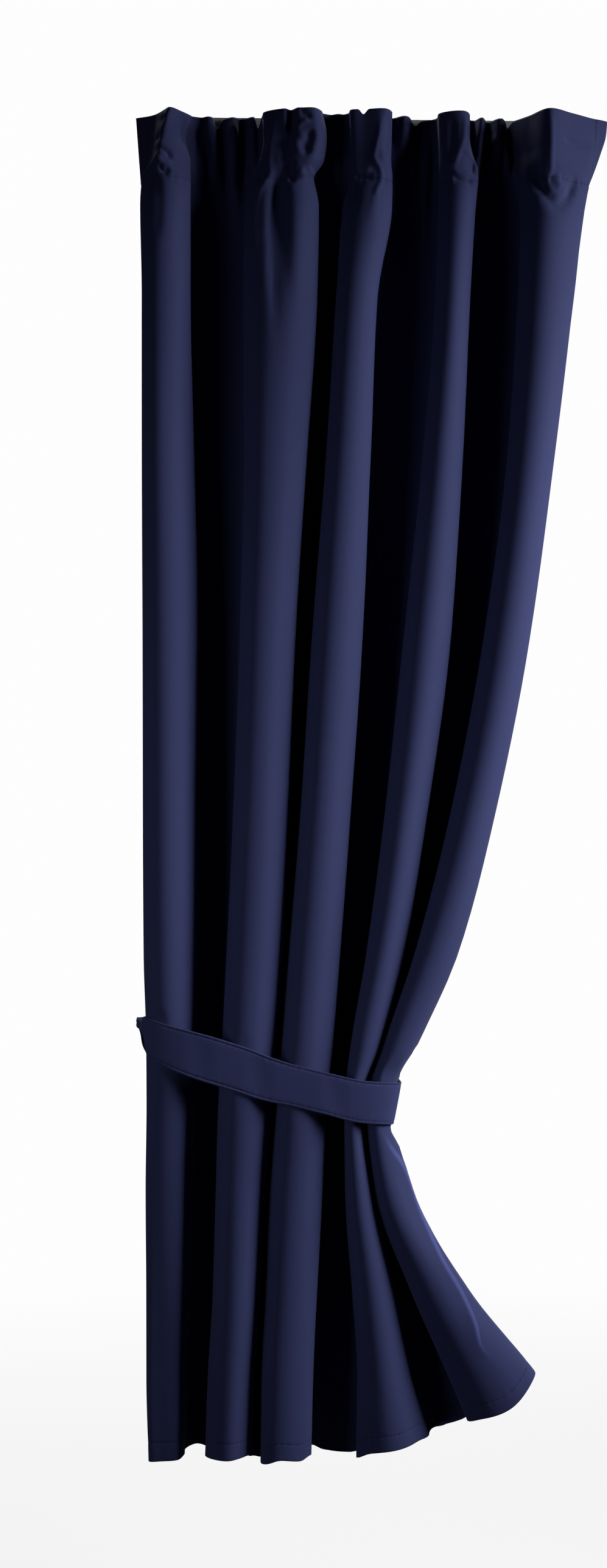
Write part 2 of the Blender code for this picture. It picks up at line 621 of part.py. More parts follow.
def make_rail():
    """A bar with a groove along its front: a flat outline drawn across it and extruded along."""
    half, height = RAIL_DEPTH_CM / 2 * CM, RAIL_HEIGHT_CM * CM
    top, bottom = RAIL_GROOVE_TOP_CM * CM, (RAIL_GROOVE_TOP_CM + RAIL_GROOVE_HEIGHT_CM) * CM
    groove = half - RAIL_GROOVE_DEPTH_CM * CM
    outline = (
        (-half, 0), (half, 0), (half, -top), (groove, -top),
        (groove, -bottom), (half, -bottom), (half, -height), (-half, -height),
    )
    curve = bpy.data.curves.new("rail", "CURVE")
    curve.dimensions = "2D"
    curve.fill_mode = "BOTH"
    curve.extrude = RAIL_LENGTH_CM / 2 * CM
    line = curve.splines.new("POLY")
    line.points.add(len(outline) - 1)
    for point, (front, up) in zip(line.points, outline):
        point.co = (front, up, 0, 1)
    line.use_cyclic_u = True
    rail = bpy.data.objects.new("rail", curve)
    rail.rotation_euler = (math.pi / 2, 0, -math.pi / 2)
    curve.materials.append(material("warm grey rail", (0.42, 0.40, 0.37), 0.45))
    return rail


def make_drape():
    drape = sheet("drape", cloth_points(), CLOTH_CM * CM)
    drape.data.materials.append(material("navy velvet", (0.04, 0.045, 0.13), 0.85))
    return drape


def make_tieback():
    tieback = sheet("tieback", tie_points(), TIE_CM * CM)
    tieback.data.materials.append(material("navy velvet band", (0.04, 0.045, 0.13), 0.85))
    return tieback


def main():
    for old in list(bpy.data.objects):
        bpy.data.objects.remove(old)
    collection = bpy.data.collections.new(COLLECTION)
    bpy.context.scene.collection.children.link(collection)
    for piece in (make_rail(), make_drape(), make_tieback()):
        collection.objects.link(piece)


main()
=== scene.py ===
"""Velvet drape with tieback on a ceiling rail: the cloth in its fine folds, the sewing, the
finishes, and the studio round it.

Frame: metres, +Z up, X along the rail, the room in front at -Y. The origin is the middle of
the rail's top face. Names that end in _CM and the tables of the cloth are in centimetres.
"""

import math
from collections import namedtuple

import bmesh
import bpy
import numpy as np
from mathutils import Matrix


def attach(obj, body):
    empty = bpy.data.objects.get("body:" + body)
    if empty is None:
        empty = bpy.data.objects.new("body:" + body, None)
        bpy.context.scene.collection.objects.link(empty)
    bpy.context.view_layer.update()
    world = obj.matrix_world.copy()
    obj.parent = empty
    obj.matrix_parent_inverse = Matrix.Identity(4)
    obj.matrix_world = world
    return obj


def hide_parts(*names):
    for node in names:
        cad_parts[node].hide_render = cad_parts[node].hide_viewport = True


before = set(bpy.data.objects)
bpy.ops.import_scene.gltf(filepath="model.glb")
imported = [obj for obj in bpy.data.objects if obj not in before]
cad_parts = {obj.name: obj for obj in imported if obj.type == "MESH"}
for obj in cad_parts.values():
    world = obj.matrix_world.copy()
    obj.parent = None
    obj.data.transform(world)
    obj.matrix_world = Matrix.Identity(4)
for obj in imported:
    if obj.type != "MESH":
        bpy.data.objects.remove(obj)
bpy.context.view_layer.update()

CM = 0.01

# Rail
RAIL_LENGTH_CM = 80.0
RAIL_DEPTH_CM = 2.4
RAIL_HEIGHT_CM = 2.6
RAIL_GROOVE_TOP_CM = 1.25
RAIL_GROOVE_HEIGHT_CM = 0.3
RAIL_GROOVE_DEPTH_CM = 0.25
RAIL_EDGE_CM = 0.06     # how far its edges are broken
RAIL_EDGE_STEPS = 3     # flats that round them off

# Cloth
CLOTH_CM = 0.2          # thickness that the hang is worked out for
DROP_CM = 239.0         # finished length of the panel, top edge to hem
PANEL_CM = 137.0        # width such a panel is sold in; the folds drawn here hold a little more
TOP_EDGE_CM = 0.4       # the top edge hangs this far below the rail's top face
GAP_CM = 0.03           # between pieces that touch
EDGE_CLEAR_CM = 0.22    # between the cloth and the rail's lower front edge
HEADING_CM = 12.0       # depth of the gathered heading, down to its stitch line
HEM_CM = 3.0            # depth of the bottom hem

# Tieback
TIE_CM = 0.24           # thickness of the doubled band
TIE_WIDTH_CM = 7.8
TIE_SPAN_CM = 10.0      # height of cloth the slanting band holds, measured straight down

# A fold at one height: where its two sides stand furthest out along the rail, and how far
# its crest stands in front of the rail's middle.
Fold = namedtuple("Fold", "drop left right front")
FOLDS = (
    (
        Fold(0, -38.3, -32.6, 9.2),
        Fold(5, -38.8, -33.9, 9.0),
        Fold(9, -39.6, -33.0, 9.6),
        Fold(12, -41.2, -32.9, 8.8),
        Fold(17, -41.6, -32.9, 9.8),
        Fold(33, -41.3, -32.9, 10.2),
        Fold(60, -41.3, -32.3, 10.4),
        Fold(95, -41.1, -31.4, 10.9),
        Fold(125, -41.0, -31.4, 11.7),
        Fold(150, -40.8, -31.5, 12.5),
        Fold(166, -40.3, -31.7, 12.6),
        Fold(176, -40.3, -32.1, 11.6),
        Fold(192, -40.5, -32.6, 10.6),
        Fold(210, -40.4, -32.9, 9.6),
        Fold(225, -40.4, -33.4, 9.0),
        Fold(240, -39.9, -34.0, 8.8),
    ),
    (
        Fold(0, -19.6, -9.6, 9.9),
        Fold(5, -19.6, -8.7, 10.0),
        Fold(9, -20.4, -9.2, 9.8),
        Fold(12, -21.9, -11.0, 8.8),
        Fold(17, -22.9, -10.1, 9.8),
        Fold(33, -23.4, -10.4, 10.4),
        Fold(60, -23.3, -12.2, 10.6),
        Fold(95, -24.1, -14.4, 11.1),
        Fold(125, -25.2, -15.6, 11.9),
        Fold(150, -26.4, -16.7, 12.7),
        Fold(166, -27.2, -17.8, 13.4),
        Fold(176, -27.8, -18.6, 13.4),
        Fold(192, -28.3, -19.6, 13.0),
        Fold(210, -28.8, -20.6, 12.9),
        Fold(225, -29.7, -21.5, 12.4),
        Fold(240, -30.2, -22.3, 12.2),
    ),
    (
        Fold(0, -4.3, 2.9, 9.9),
        Fold(5, -4.2, 2.8, 9.6),
        Fold(9, -4.2, 2.7, 9.4),
        Fold(12, -4.2, 3.0, 8.8),
        Fold(17, -5.6, 2.9, 9.8),
        Fold(33, -6.9, 0.3, 10.2),
        Fold(60, -8.6, -0.9, 10.4),
        Fold(95, -11.3, -2.5, 11.0),
        Fold(125, -13.3, -4.6, 11.8),
        Fold(150, -15.4, -6.5, 12.6),
        Fold(166, -16.7, -7.8, 13.3),
        Fold(176, -17.5, -8.8, 13.4),
        Fold(192, -18.7, -9.6, 12.9),
        Fold(210, -19.5, -10.6, 12.5),
        Fold(225, -20.2, -11.3, 12.3),
        Fold(240, -20.4, -11.6, 12.2),
    ),
    (
        Fold(0, 11.5, 16.9, 8.9),
        Fold(5, 11.6, 17.0, 8.8),
        Fold(9, 11.6, 17.8, 9.0),
        Fold(12, 11.6, 18.3, 8.6),
        Fold(17, 11.4, 17.9, 9.0),
        Fold(33, 10.9, 16.9, 9.4),
        Fold(60, 8.7, 15.6, 10.0),
        Fold(95, 5.0, 13.2, 10.8),
        Fold(125, 1.7, 9.1, 11.7),
        Fold(150, -1.7, 4.9, 12.5),
        Fold(166, -4.5, 1.0, 13.0),
        Fold(176, -5.6, -2.4, 12.8),
        Fold(192, -5.4, -0.2, 12.2),
        Fold(210, -4.1, 3.3, 11.6),
        Fold(225, -3.2, 6.2, 11.2),
        Fold(240, -3.4, 10.6, 11.0),
    ),
    (
        Fold(0, 24.4, 39.4, 11.2),
        Fold(5, 24.0, 39.4, 11.2),
        Fold(9, 24.4, 38.9, 10.8),
        Fold(12, 25.1, 38.4, 10.0),
        Fold(17, 26.1, 37.4, 10.2),
        Fold(33, 25.6, 35.4, 10.4),
        Fold(60, 23.8, 32.0, 10.6),
        Fold(95, 19.2, 27.2, 11.0),
        Fold(125, 13.4, 21.2, 11.7),
        Fold(150, 6.8, 14.5, 12.4),
        Fold(166, 1.3, 7.4, 12.6),
        Fold(176, -1.7, 3.0, 12.2),
        Fold(192, -0.1, 6.5, 11.8),
        Fold(210, 6.4, 16.6, 11.2),
        Fold(225, 13.0, 28.6, 10.8),
        Fold(240, 19.4, 39.0, 10.4),
    ),
)

# How far in front of the rail's middle the cloth lies at the bottom of each hollow.
Hollow = namedtuple("Hollow", "drop first second third fourth")
HOLLOWS = (
    Hollow(0, 1.2, 5.0, 1.2, 1.2),
    Hollow(3, 1.6, 4.6, 1.6, 1.6),
    Hollow(12, 1.2, 3.2, 1.2, 1.2),
    Hollow(30, 0.0, 1.2, 0.0, 0.0),
    Hollow(110, 0.0, 0.8, 0.0, 0.2),
    Hollow(150, 1.0, 1.4, 1.0, 1.4),
    Hollow(170, 2.2, 2.0, 2.0, 2.0),
    Hollow(195, 1.0, 1.4, 1.2, 1.6),
    Hollow(218, 0.8, 2.4, 1.4, 1.2),
    Hollow(240, 0.4, 5.0, 2.4, 1.2),
)

# Nearest that the cloth's middle comes to the rail's middle: resting on the rail's face at the
# top, clear of its lower edge, and free to swing back under it further down.
Seat = namedtuple("Seat", "drop front")
RAIL_FACE_CM = RAIL_DEPTH_CM / 2 + CLOTH_CM / 2
SEATS = (
    Seat(TOP_EDGE_CM, RAIL_FACE_CM + GAP_CM),
    Seat(RAIL_HEIGHT_CM, RAIL_FACE_CM + EDGE_CLEAR_CM),
    Seat(4.0, RAIL_FACE_CM + EDGE_CLEAR_CM),
    Seat(16.0, -0.8),
    Seat(240, -0.8),
)

# The panel's two side edges and the knee of cloth next to each, along the rail and out in
# front of it.
Side = namedtuple("Side", "drop edge edge_front knee knee_front")
LEFT_SIDE = (
    Side(0, -42.6, 1.5, -39.6, 3.4),
    Side(8, -42.0, 1.8, -40.2, 3.6),
    Side(13, -41.6, 2.0, -41.4, 4.0),
    Side(30, -40.8, 1.8, -41.2, 4.4),
    Side(95, -40.4, 1.7, -40.9, 4.5),
    Side(150, -40.0, 1.6, -40.6, 4.6),
    Side(176, -39.2, 2.4, -39.9, 4.8),
    Side(240, -39.1, 1.6, -39.9, 4.8),
)
RIGHT_SIDE = (
    Side(0, 42.2, 2.7, 40.6, 3.8),
    Side(3, 41.9, 2.7, 40.4, 3.9),
    Side(6, 41.0, 2.6, 39.8, 4.0),
    Side(10.7, 39.3, 2.4, 38.9, 4.2),
    Side(14.2, 37.8, 2.2, 38.0, 4.4),
    Side(30, 34.4, 1.8, 35.2, 4.6),
    Side(60, 31.2, 1.8, 31.8, 4.6),
    Side(95, 26.2, 1.8, 26.9, 4.8),
    Side(125, 20.0, 1.8, 20.8, 5.0),
    Side(150, 13.2, 2.0, 14.1, 5.2),
    Side(166, 6.4, 2.2, 7.1, 5.4),
    Side(176, 1.8, 2.2, 2.5, 5.4),
    Side(192, 5.3, 2.4, 6.0, 5.4),
    Side(210, 15.4, 3.0, 16.4, 5.4),
    Side(225, 27.6, 3.4, 28.5, 5.4),
    Side(240, 38.0, 3.6, 38.9, 5.4),
)

# Outline of each fold seen from above. crest is the place of its crest, from its left side
# (0) to its right side (1). The next four are how far out the cloth stands, from the hollow
# (0) to the crest (1): at the left side, halfway to the crest, halfway on, and at the right
# side. tuck is how far the right side turns in behind the fold (1) or runs on out (below 0).
Crown = namedtuple("Crown", "drop crest left left_half right_half right tuck")
CROWNS = (
    (
        Crown(0, 0.37, 0.47, 0.76, 0.66, 0.26, 0.0),
        Crown(5, 0.16, 0.70, 0.88, 0.86, 0.48, 0.0),
        Crown(9.5, 0.18, 0.66, 0.86, 0.90, 0.56, 0.5),
        Crown(12.5, 0.46, 0.58, 0.86, 0.90, 0.56, 1.0),
        Crown(17, 0.40, 0.60, 0.90, 0.92, 0.56, 1.0),
        Crown(33, 0.36, 0.64, 0.94, 0.92, 0.58, 1.0),
        Crown(60, 0.34, 0.66, 0.94, 0.88, 0.48, 0.2),
        Crown(150, 0.40, 0.76, 0.96, 0.88, 0.42, 0.0),
        Crown(200, 0.50, 0.86, 0.97, 0.92, 0.44, 0.0),
        Crown(240, 0.66, 0.92, 0.97, 0.96, 0.52, 0.0),
    ),
    (
        Crown(0, 0.72, 0.62, 0.90, 0.97, 0.44, 0.0),
        Crown(9, 0.68, 0.62, 0.88, 0.96, 0.52, 0.4),
        Crown(14, 0.62, 0.62, 0.90, 0.96, 0.64, 1.0),
        Crown(33, 0.52, 0.64, 0.94, 0.95, 0.72, 1.0),
        Crown(60, 0.42, 0.66, 0.955, 0.945, 0.74, 1.0),
        Crown(150, 0.40, 0.66, 0.955, 0.94, 0.70, 1.0),
        Crown(200, 0.44, 0.66, 0.95, 0.92, 0.60, 0.6),
        Crown(240, 0.52, 0.66, 0.94, 0.88, 0.46, 0.2),
    ),
    (
        Crown(0, 0.68, 0.78, 0.88, 0.98, 0.72, 0.0),
        Crown(9, 0.60, 0.76, 0.92, 0.97, 0.72, 0.4),
        Crown(17, 0.48, 0.66, 0.92, 0.95, 0.68, 1.0),
        Crown(33, 0.44, 0.66, 0.95, 0.945, 0.72, 1.0),
        Crown(60, 0.41, 0.66, 0.955, 0.945, 0.74, 1.0),
        Crown(150, 0.38, 0.66, 0.955, 0.94, 0.72, 1.0),
        Crown(240, 0.38, 0.64, 0.955, 0.94, 0.72, 1.0),
    ),
    (
        Crown(0, 0.72, 0.74, 0.96, 0.92, 0.62, 0.2),
        Crown(5, 0.70, 0.72, 0.95, 0.94, 0.60, 0.2),
        Crown(10.5, 0.40, 0.70, 0.94, 0.94, 0.62, 0.6),
        Crown(13, 0.50, 0.66, 0.92, 0.94, 0.66, 1.0),
        Crown(33, 0.46, 0.66, 0.94, 0.94, 0.72, 1.0),
        Crown(60, 0.44, 0.66, 0.95, 0.94, 0.72, 1.0),
        Crown(135, 0.40, 0.68, 0.95, 0.93, 0.68, 1.0),
        Crown(165, 0.36, 0.80, 0.97, 0.93, 0.66, 1.0),
        Crown(182, 0.36, 0.80, 0.97, 0.92, 0.60, 0.8),
        Crown(205, 0.42, 0.66, 0.94, 0.92, 0.60, 0.7),
        Crown(240, 0.46, 0.62, 0.92, 0.86, 0.44, -0.8),
    ),
    (
        Crown(0, 0.415, 0.03, 0.42, 0.64, 0.20, 0.0),
        Crown(7, 0.42, 0.10, 0.46, 0.70, 0.28, 0.0),
        Crown(12, 0.38, 0.34, 0.76, 0.84, 0.42, 0.0),
        Crown(18, 0.38, 0.54, 0.90, 0.90, 0.54, 0.0),
        Crown(60, 0.42, 0.64, 0.94, 0.94, 0.66, 0.0),
        Crown(130, 0.42, 0.68, 0.95, 0.94, 0.64, 0.0),
        Crown(160, 0.38, 0.86, 0.98, 0.92, 0.60, 0.0),
        Crown(184, 0.36, 0.86, 0.98, 0.90, 0.56, 0.0),
        Crown(206, 0.42, 0.70, 0.95, 0.92, 0.58, 0.0),
        Crown(240, 0.44, 0.64, 0.94, 0.90, 0.54, 0.0),
    ),
)
LEFT_NECK = (0.17, 0.26)        # across and out, next to the hollow on the fold's left
RIGHT_NECK = (0.90, 0.26)
# The folds' left sides stand straight out in the heading and close to a neck below it.
Neck = namedtuple("Neck", "drop tightness")
NECKS = (Neck(0, -0.4), Neck(12, 0.1), Neck(30, 1.0), Neck(240, 1.0))

# Small gathers and dents that the heading tape draws into the cloth: where along the rail,
# how far they lean over that way in each 10 cm of drop, half their width, how far they stand
# out (or in), and where down the cloth they begin, are fullest and have faded.
Gather = namedtuple("Gather", "along lean half_width out begin full end")
GATHERS = (
    Gather(-29.6, 1.6, 1.5, 1.6, -9, 4, 20),
    Gather(-25.4, 0.4, 1.9, 2.0, -9, 5, 26),
    Gather(-21.9, 0.4, 1.2, 1.0, -9, 5, 14),
    Gather(-6.6, 0.0, 1.3, 1.0, -9, 4, 16),
    Gather(5.6, -0.4, 2.8, 3.4, -9, 1, 10),
    Gather(9.2, 0.0, 1.4, 1.2, -4, 10, 34),
    Gather(19.4, -1.0, 1.3, 3.4, -9, 3, 16),
    Gather(22.2, 0.0, 1.3, 1.6, -9, 8, 20),
    Gather(-17.6, 0.3, 2.6, -1.5, 9, 17, 38),
    Gather(-15.0, 0.0, 1.3, -1.6, -12, 2, 10),
)

# Where the top edge sags between two gathers: how far along, half its width, how deep.
Sag = namedtuple("Sag", "along half_width depth")
SAGS = (
    Sag(-27.9, 1.1, 2.1),
    Sag(-20.7, 0.8, 2.1),
    Sag(-2.2, 1.0, 0.9),
    Sag(7.4, 1.4, 0.9),
    Sag(24.2, 1.2, 1.2),
)

# Creases drawn over the cloth: half their width, how far they stand out (or in), how sharp
# they are (0 to 1), whether they lie down in the hollows, and their path, along and drop.
Stroke = namedtuple("Stroke", "half_width out sharp deep path")
LONG_CREASE = (
    (0.9, 180.9), (2.1, 183.3), (5.3, 188.2), (7.7, 195.0), (10.2, 200.8), (11.9, 204.4),
    (15.0, 209.7), (17.5, 215.4), (18.3, 219.0), (20.8, 222.0),
)
# The painted highlight along the long crease: a light line standing in for the sheen on its ridge.
FAR_CM = 6.0            # distances from it are worked out up to here
NEVER_ZERO_CM = 1e-4    # and keep their sign on the crease itself
CREASE_REACH_CM = 2.5   # it shows this far to each side
CREASE_LINE_CM = 0.6    # half the width of the line in its middle
CREASE_FADE_CM = 5.0    # it fades out over this drop at both ends
CREASE_FRONT_CM = 5.0   # only cloth further out than this shows it
STROKES = (
    # first fold
    Stroke(1.0, -0.3, 0.2, False, ((-34.0, 1.0), (-34.4, 3.4), (-34.0, 6.5))),
    Stroke(1.0, -0.35, 0.2, False, ((-37.6, 1.0), (-37.9, 4.0), (-38.9, 6.6))),
    Stroke(0.9, -0.5, 0.3, False, ((-39.0, 7.4), (-37.6, 7.9), (-36.6, 8.8), (-36.9, 10.0))),
    Stroke(0.8, 0.32, 0.4, False, ((-39.2, 8.6), (-38.3, 9.7), (-37.1, 10.2), (-36.0, 9.4))),
    Stroke(1.0, -0.6, 0.5, False, ((-38.6, 10.6), (-37.4, 11.7), (-36.4, 11.0))),
    Stroke(1.4, -0.3, 0.2, False, ((-38.6, 13.0), (-38.4, 17.0), (-39.0, 24.0))),
    # hollow between the first two folds
    Stroke(1.3, 0.8, 0.3, True, ((-30.6, 0.4), (-30.0, 5.6), (-28.9, 10.1), (-28.8, 15.5))),
    Stroke(1.0, -0.36, 0.2, True, ((-31.9, 1.0), (-31.6, 8.0), (-30.6, 15.0))),
    Stroke(0.8, 0.5, 0.3, True, ((-23.2, 0.4), (-22.7, 5.5), (-22.5, 13.0))),
    Stroke(1.1, 0.5, 0.2, True, ((-25.4, 0.4), (-25.0, 6.0), (-25.6, 14.0))),
    # second fold
    Stroke(1.1, 0.45, 0.5, False, ((-17.9, 0.4), (-18.4, 5.0), (-18.8, 9.5), (-18.7, 11.8),
                                   (-20.2, 14.2), (-21.5, 16.8), (-21.7, 22.0), (-21.4, 30.0))),
    Stroke(1.6, -0.6, 0.2, False, ((-16.2, 0.4), (-16.4, 6.0), (-16.2, 10.0), (-17.4, 14.0),
                                   (-18.4, 20.0), (-18.2, 30.0), (-17.6, 40.0))),
    Stroke(1.0, -0.35, 0.2, False, ((-13.6, 0.6), (-12.6, 1.6), (-11.4, 2.2))),
    Stroke(1.5, -0.7, 0.0, False, ((-12.2, 4.0), (-11.8, 5.6), (-12.4, 7.4), (-11.6, 8.8))),
    Stroke(1.2, 0.45, 0.1, False, ((-15.0, 3.8), (-14.9, 5.6), (-13.8, 7.6))),
    Stroke(0.8, 0.35, 0.2, False, ((-11.6, 2.4), (-13.2, 3.2), (-14.4, 4.6))),
    Stroke(1.3, 0.45, 0.1, False, ((-13.8, 10.8), (-12.6, 11.9), (-11.0, 10.8))),
    Stroke(1.3, -0.75, 0.2, False, ((-14.8, 9.2), (-15.4, 11.4), (-14.4, 13.6))),
    Stroke(0.8, 0.3, 0.3, False, ((-21.6, 8.9), (-20.4, 9.3), (-20.2, 10.2), (-21.3, 10.9))),
    # third fold
    Stroke(0.9, 0.42, 1.0, False, ((0.7, 0.4), (0.6, 4.2), (-0.1, 7.5), (-0.3, 9.0), (0.7, 10.8),
                                   (0.9, 12.7), (0.1, 14.8), (-0.5, 17.2), (-1.1, 21.5))),
    Stroke(1.2, -0.35, 0.2, False, ((2.2, 1.0), (2.1, 5.0), (1.6, 8.6))),
    Stroke(0.9, -0.4, 0.2, False, ((-4.0, 12.0), (-2.2, 12.2), (-0.3, 12.4))),
    Stroke(0.8, 0.32, 0.3, False, ((-4.2, 11.0), (-2.4, 11.2), (-0.6, 10.9))),
    Stroke(1.1, -0.35, 0.1, False, ((-3.2, 13.0), (-3.6, 16.0), (-4.6, 19.0))),
    # hollow between the third and fourth folds
    Stroke(0.9, 0.6, 0.3, True, ((7.1, 3.4), (7.6, 10.0), (8.0, 19.0))),
    Stroke(0.7, 0.3, 0.3, True, ((10.1, 3.0), (10.2, 12.5))),
    # fourth fold
    Stroke(1.2, -0.4, 0.2, False, ((13.6, 1.0), (13.6, 6.0), (13.0, 10.0))),
    Stroke(1.1, -0.35, 0.2, False, ((16.9, 2.4), (17.0, 4.6), (17.6, 6.8))),
    Stroke(0.8, 0.35, 0.6, False, ((15.9, 0.6), (15.7, 4.4), (15.3, 6.4), (14.4, 8.6),
                                   (13.6, 10.8))),
    Stroke(0.8, 0.25, 0.4, False, ((15.5, 6.6), (16.6, 8.2), (17.7, 9.8), (17.9, 11.6))),
    Stroke(0.7, 0.35, 0.5, False, ((13.4, 11.0), (14.8, 11.4), (16.4, 11.4), (17.8, 11.7))),
    Stroke(0.8, -0.35, 0.3, False, ((13.6, 12.3), (15.2, 12.6), (17.4, 12.9))),
    Stroke(0.6, -0.5, 0.4, True, ((17.2, 1.0), (17.4, 3.0), (18.0, 5.6), (18.6, 8.0))),
    # hollow between the fourth and fifth folds
    Stroke(1.1, 0.7, 0.4, True, ((21.5, 2.6), (21.6, 8.0), (21.5, 14.5))),
    Stroke(0.8, 0.4, 0.3, True, ((24.0, 4.6), (24.1, 9.0), (23.8, 14.0))),
    # fifth fold
    Stroke(0.9, 0.35, 0.8, False, ((30.7, 0.4), (30.9, 3.0), (30.9, 8.0), (30.9, 13.0))),
    Stroke(1.4, -0.7, 0.1, False, ((28.7, 7.6), (28.4, 10.0), (28.8, 12.9), (30.3, 15.6),
                                   (32.0, 17.1), (33.8, 16.0), (35.0, 13.0), (35.1, 10.3))),
    Stroke(1.1, 0.35, 0.2, False, ((26.9, 6.0), (27.1, 11.1), (27.9, 14.5), (29.6, 17.8))),
    Stroke(1.3, 0.35, 0.0, False, ((31.8, 11.6), (32.4, 13.4), (33.0, 14.2))),
    Stroke(1.0, -0.3, 0.1, False, ((33.0, 5.2), (36.0, 5.8), (39.0, 5.4))),
    Stroke(2.0, 0.5, 0.8, False, LONG_CREASE),
)
HOLLOW_FRONT_CM = 6.5   # a stroke in a hollow marks only cloth behind this
CREST_FRONT_CM = 4.5    # any other marks only cloth in front of this
STROKE_END = 0.22       # share of its length over which a stroke fades at each end
STROKE_FACING = 2.2     # how fast it comes in as the cloth turns towards the room
PATH_STEPS = 6          # points on a path between two of its control points

# How much longer (or shorter) the cloth hangs at its hem, by where the hem lies.
Hem = namedtuple("Hem", "along extra")
HEMS = (
    Hem(-40.0, 0.9), Hem(-36.0, 0.5), Hem(-33.5, 0.2), Hem(-31.5, -0.2), Hem(-29.0, 0.0),
    Hem(-25.0, 0.1), Hem(-20.5, 1.4), Hem(-17.0, 0.2), Hem(-13.5, 0.4), Hem(-11.8, -0.3),
    Hem(-9.0, 1.2), Hem(-4.0, 1.4), Hem(-1.0, 0.3), Hem(4.0, 0.1), Hem(9.0, 0.6),
    Hem(12.0, 1.5), Hem(15.0, 1.5), Hem(18.0, 0.9), Hem(22.0, 0.4), Hem(27.0, -0.9),
    Hem(30.0, -2.0), Hem(33.0, -3.2),
)
HEM_EASE_CM = 50.0      # height over which the difference comes in
HEM_EVEN = 4            # the hem is evened out over this many columns to each side

# Columns of cloth in each fold below the heading; the heading has twice as many.
FOLD_COLUMNS = (43, 45, 40, 40, 46)
# Lengths of cloth from the top edge, and how far apart the rows lie from there on.
Spacing = namedtuple("Spacing", "length step")
SPACINGS = (
    Spacing(0, 0.3), Spacing(14.7, 1.0), Spacing(24.7, 2.5), Spacing(34.7, 4.0),
    Spacing(146.7, 2.0), Spacing(160.7, 1.0), Spacing(184.7, 2.0), Spacing(228.7, 1.1),
    Spacing(DROP_CM - HEM_CM - 0.6, 0.3),
)
# Near the band the rows run along it: how much of its slope a row takes up.
Pull = namedtuple("Pull", "length share")
PULLS = (Pull(0, 0), Pull(50, 0), Pull(158, 1), Pull(182, 1), Pull(DROP_CM, 0))
TIE_ROW_CM = 170.0      # the row that lies under the band's centre line
LOWEST_CM = 245.0       # a little below the lowest hem point
HEIGHTS = 481           # plans worked out between the rail and the lowest hem point
SPLINE_STEPS = 12       # points on the outline between two of its control points

# Where the tieback's band runs round the folds, seen from above: an oval with flat sides.
TIE_MIDDLE_CM = -18.45
TIE_MIDDLE_FRONT_CM = 7.6
TIE_HALF_LENGTH_CM = 22.9
TIE_HALF_DEPTH_CM = 6.0
TIE_SQUARENESS = 4.0
TIE_SLOPE_MOST = 0.3    # the band's cross lines lean no further than this
TIE_LEAN_CM = 1.5       # its lower edge is drawn in this much further at the right end
TIE_LEAN_MOST = 1.15    # and the cloth just below it by this share of that
TIE_EASE = 0.32         # how fast the folds swell again away from the band's edges
# The band's centre line and width across the front, and back behind the folds.
Line = namedtuple("Line", "along drop width")
TIE_FRONT_LINE = (
    Line(-41.4, 162.2, 2.4), Line(-41.2, 162.4, 2.8), Line(-40.9, 162.9, 3.9),
    Line(-40.4, 164.2, 6.3), Line(-39.6, 164.6, 6.7), Line(-37.0, 165.6, 7.1),
    Line(-33.9, 166.6, 7.6), Line(-29.4, 168.0, 8.0), Line(-24.6, 169.5, 7.9),
    Line(-18.0, 171.8, 7.5), Line(-15.0, 172.5, 7.2), Line(-8.6, 174.1, 7.2),
    Line(-2.2, 175.6, 7.4), Line(4.5, 176.2, 7.4),
)
TIE_BACK_LINE = (Line(-41.4, 163.4, 7.4), Line(4.5, 176.2, 7.4))
# Both ends narrow to a neck and stop 1.3 cm apart at the hook corner, next to the first
# fold's side.
End = namedtuple("End", "along front drop width")
TIE_FRONT_END = (
    End(-42.4, 4.5, 162.3, 1.6),
    End(-42.2, 5.6, 162.25, 1.8),
    End(-41.8, 6.9, 162.25, 2.1),
    End(-41.5, 8.1, 162.25, 2.4),
    End(-41.4, 9.0, 162.3, 2.7),
)
TIE_BACK_END = (
    End(-34.6, 1.9, 165.2, 7.4),
    End(-38.0, 1.6, 164.8, 7.4),
    End(-40.4, 1.7, 164.8, 7.0),
    End(-41.3, 2.2, 164.2, 5.4),
    End(-41.7, 2.7, 163.2, 3.4),
    End(-42.1, 3.0, 162.5, 2.0),
    End(-42.4, 3.2, 162.2, 1.5),
)

BAND_ROWS = 330
# Across the band's face: distance from a long edge, and how far it swells off the middle.
Swell = namedtuple("Swell", "inward out")
BAND_FACE = (
    Swell(0.0, 0.0), Swell(0.02, 0.06), Swell(0.06, 0.1), Swell(0.13, 0.135), Swell(0.22, 0.15),
    Swell(0.32, 0.14), Swell(0.42, 0.08), Swell(0.5, 0.075), Swell(0.62, 0.125), Swell(0.85, 0.15),
    Swell(1.3, 0.16), Swell(2.0, 0.165), Swell(3.0, 0.17), Swell(3.9, 0.17),
)
BAND_STITCH_CM = 0.46   # its sewn line lies this far in from each edge
BAND_SAG_CM = 0.14      # it gives way this much between two folds
BAND_SAGS = (-31.2, -20.8, -7.4)
BAND_SAG_HALF_CM = 3.2
# Pleats where the band is drawn together at its neck.
PLEAT_CM = 0.05
PLEATS = 2
PLEAT_FROM_CM, PLEAT_FULL_CM = 6.2, 2.6     # widths between which they come in
NECK_RUN_CM = 3.6       # from the neck in front to the band's full width
NECK_HALF_CM = 0.15     # half the neck's thickness, rounded at its edges
TIP_CM = 0.9            # its ends are rounded off over this length
TIP_BLUNT = 0.1         # and stay a little thick, as if they ran on by this share of it
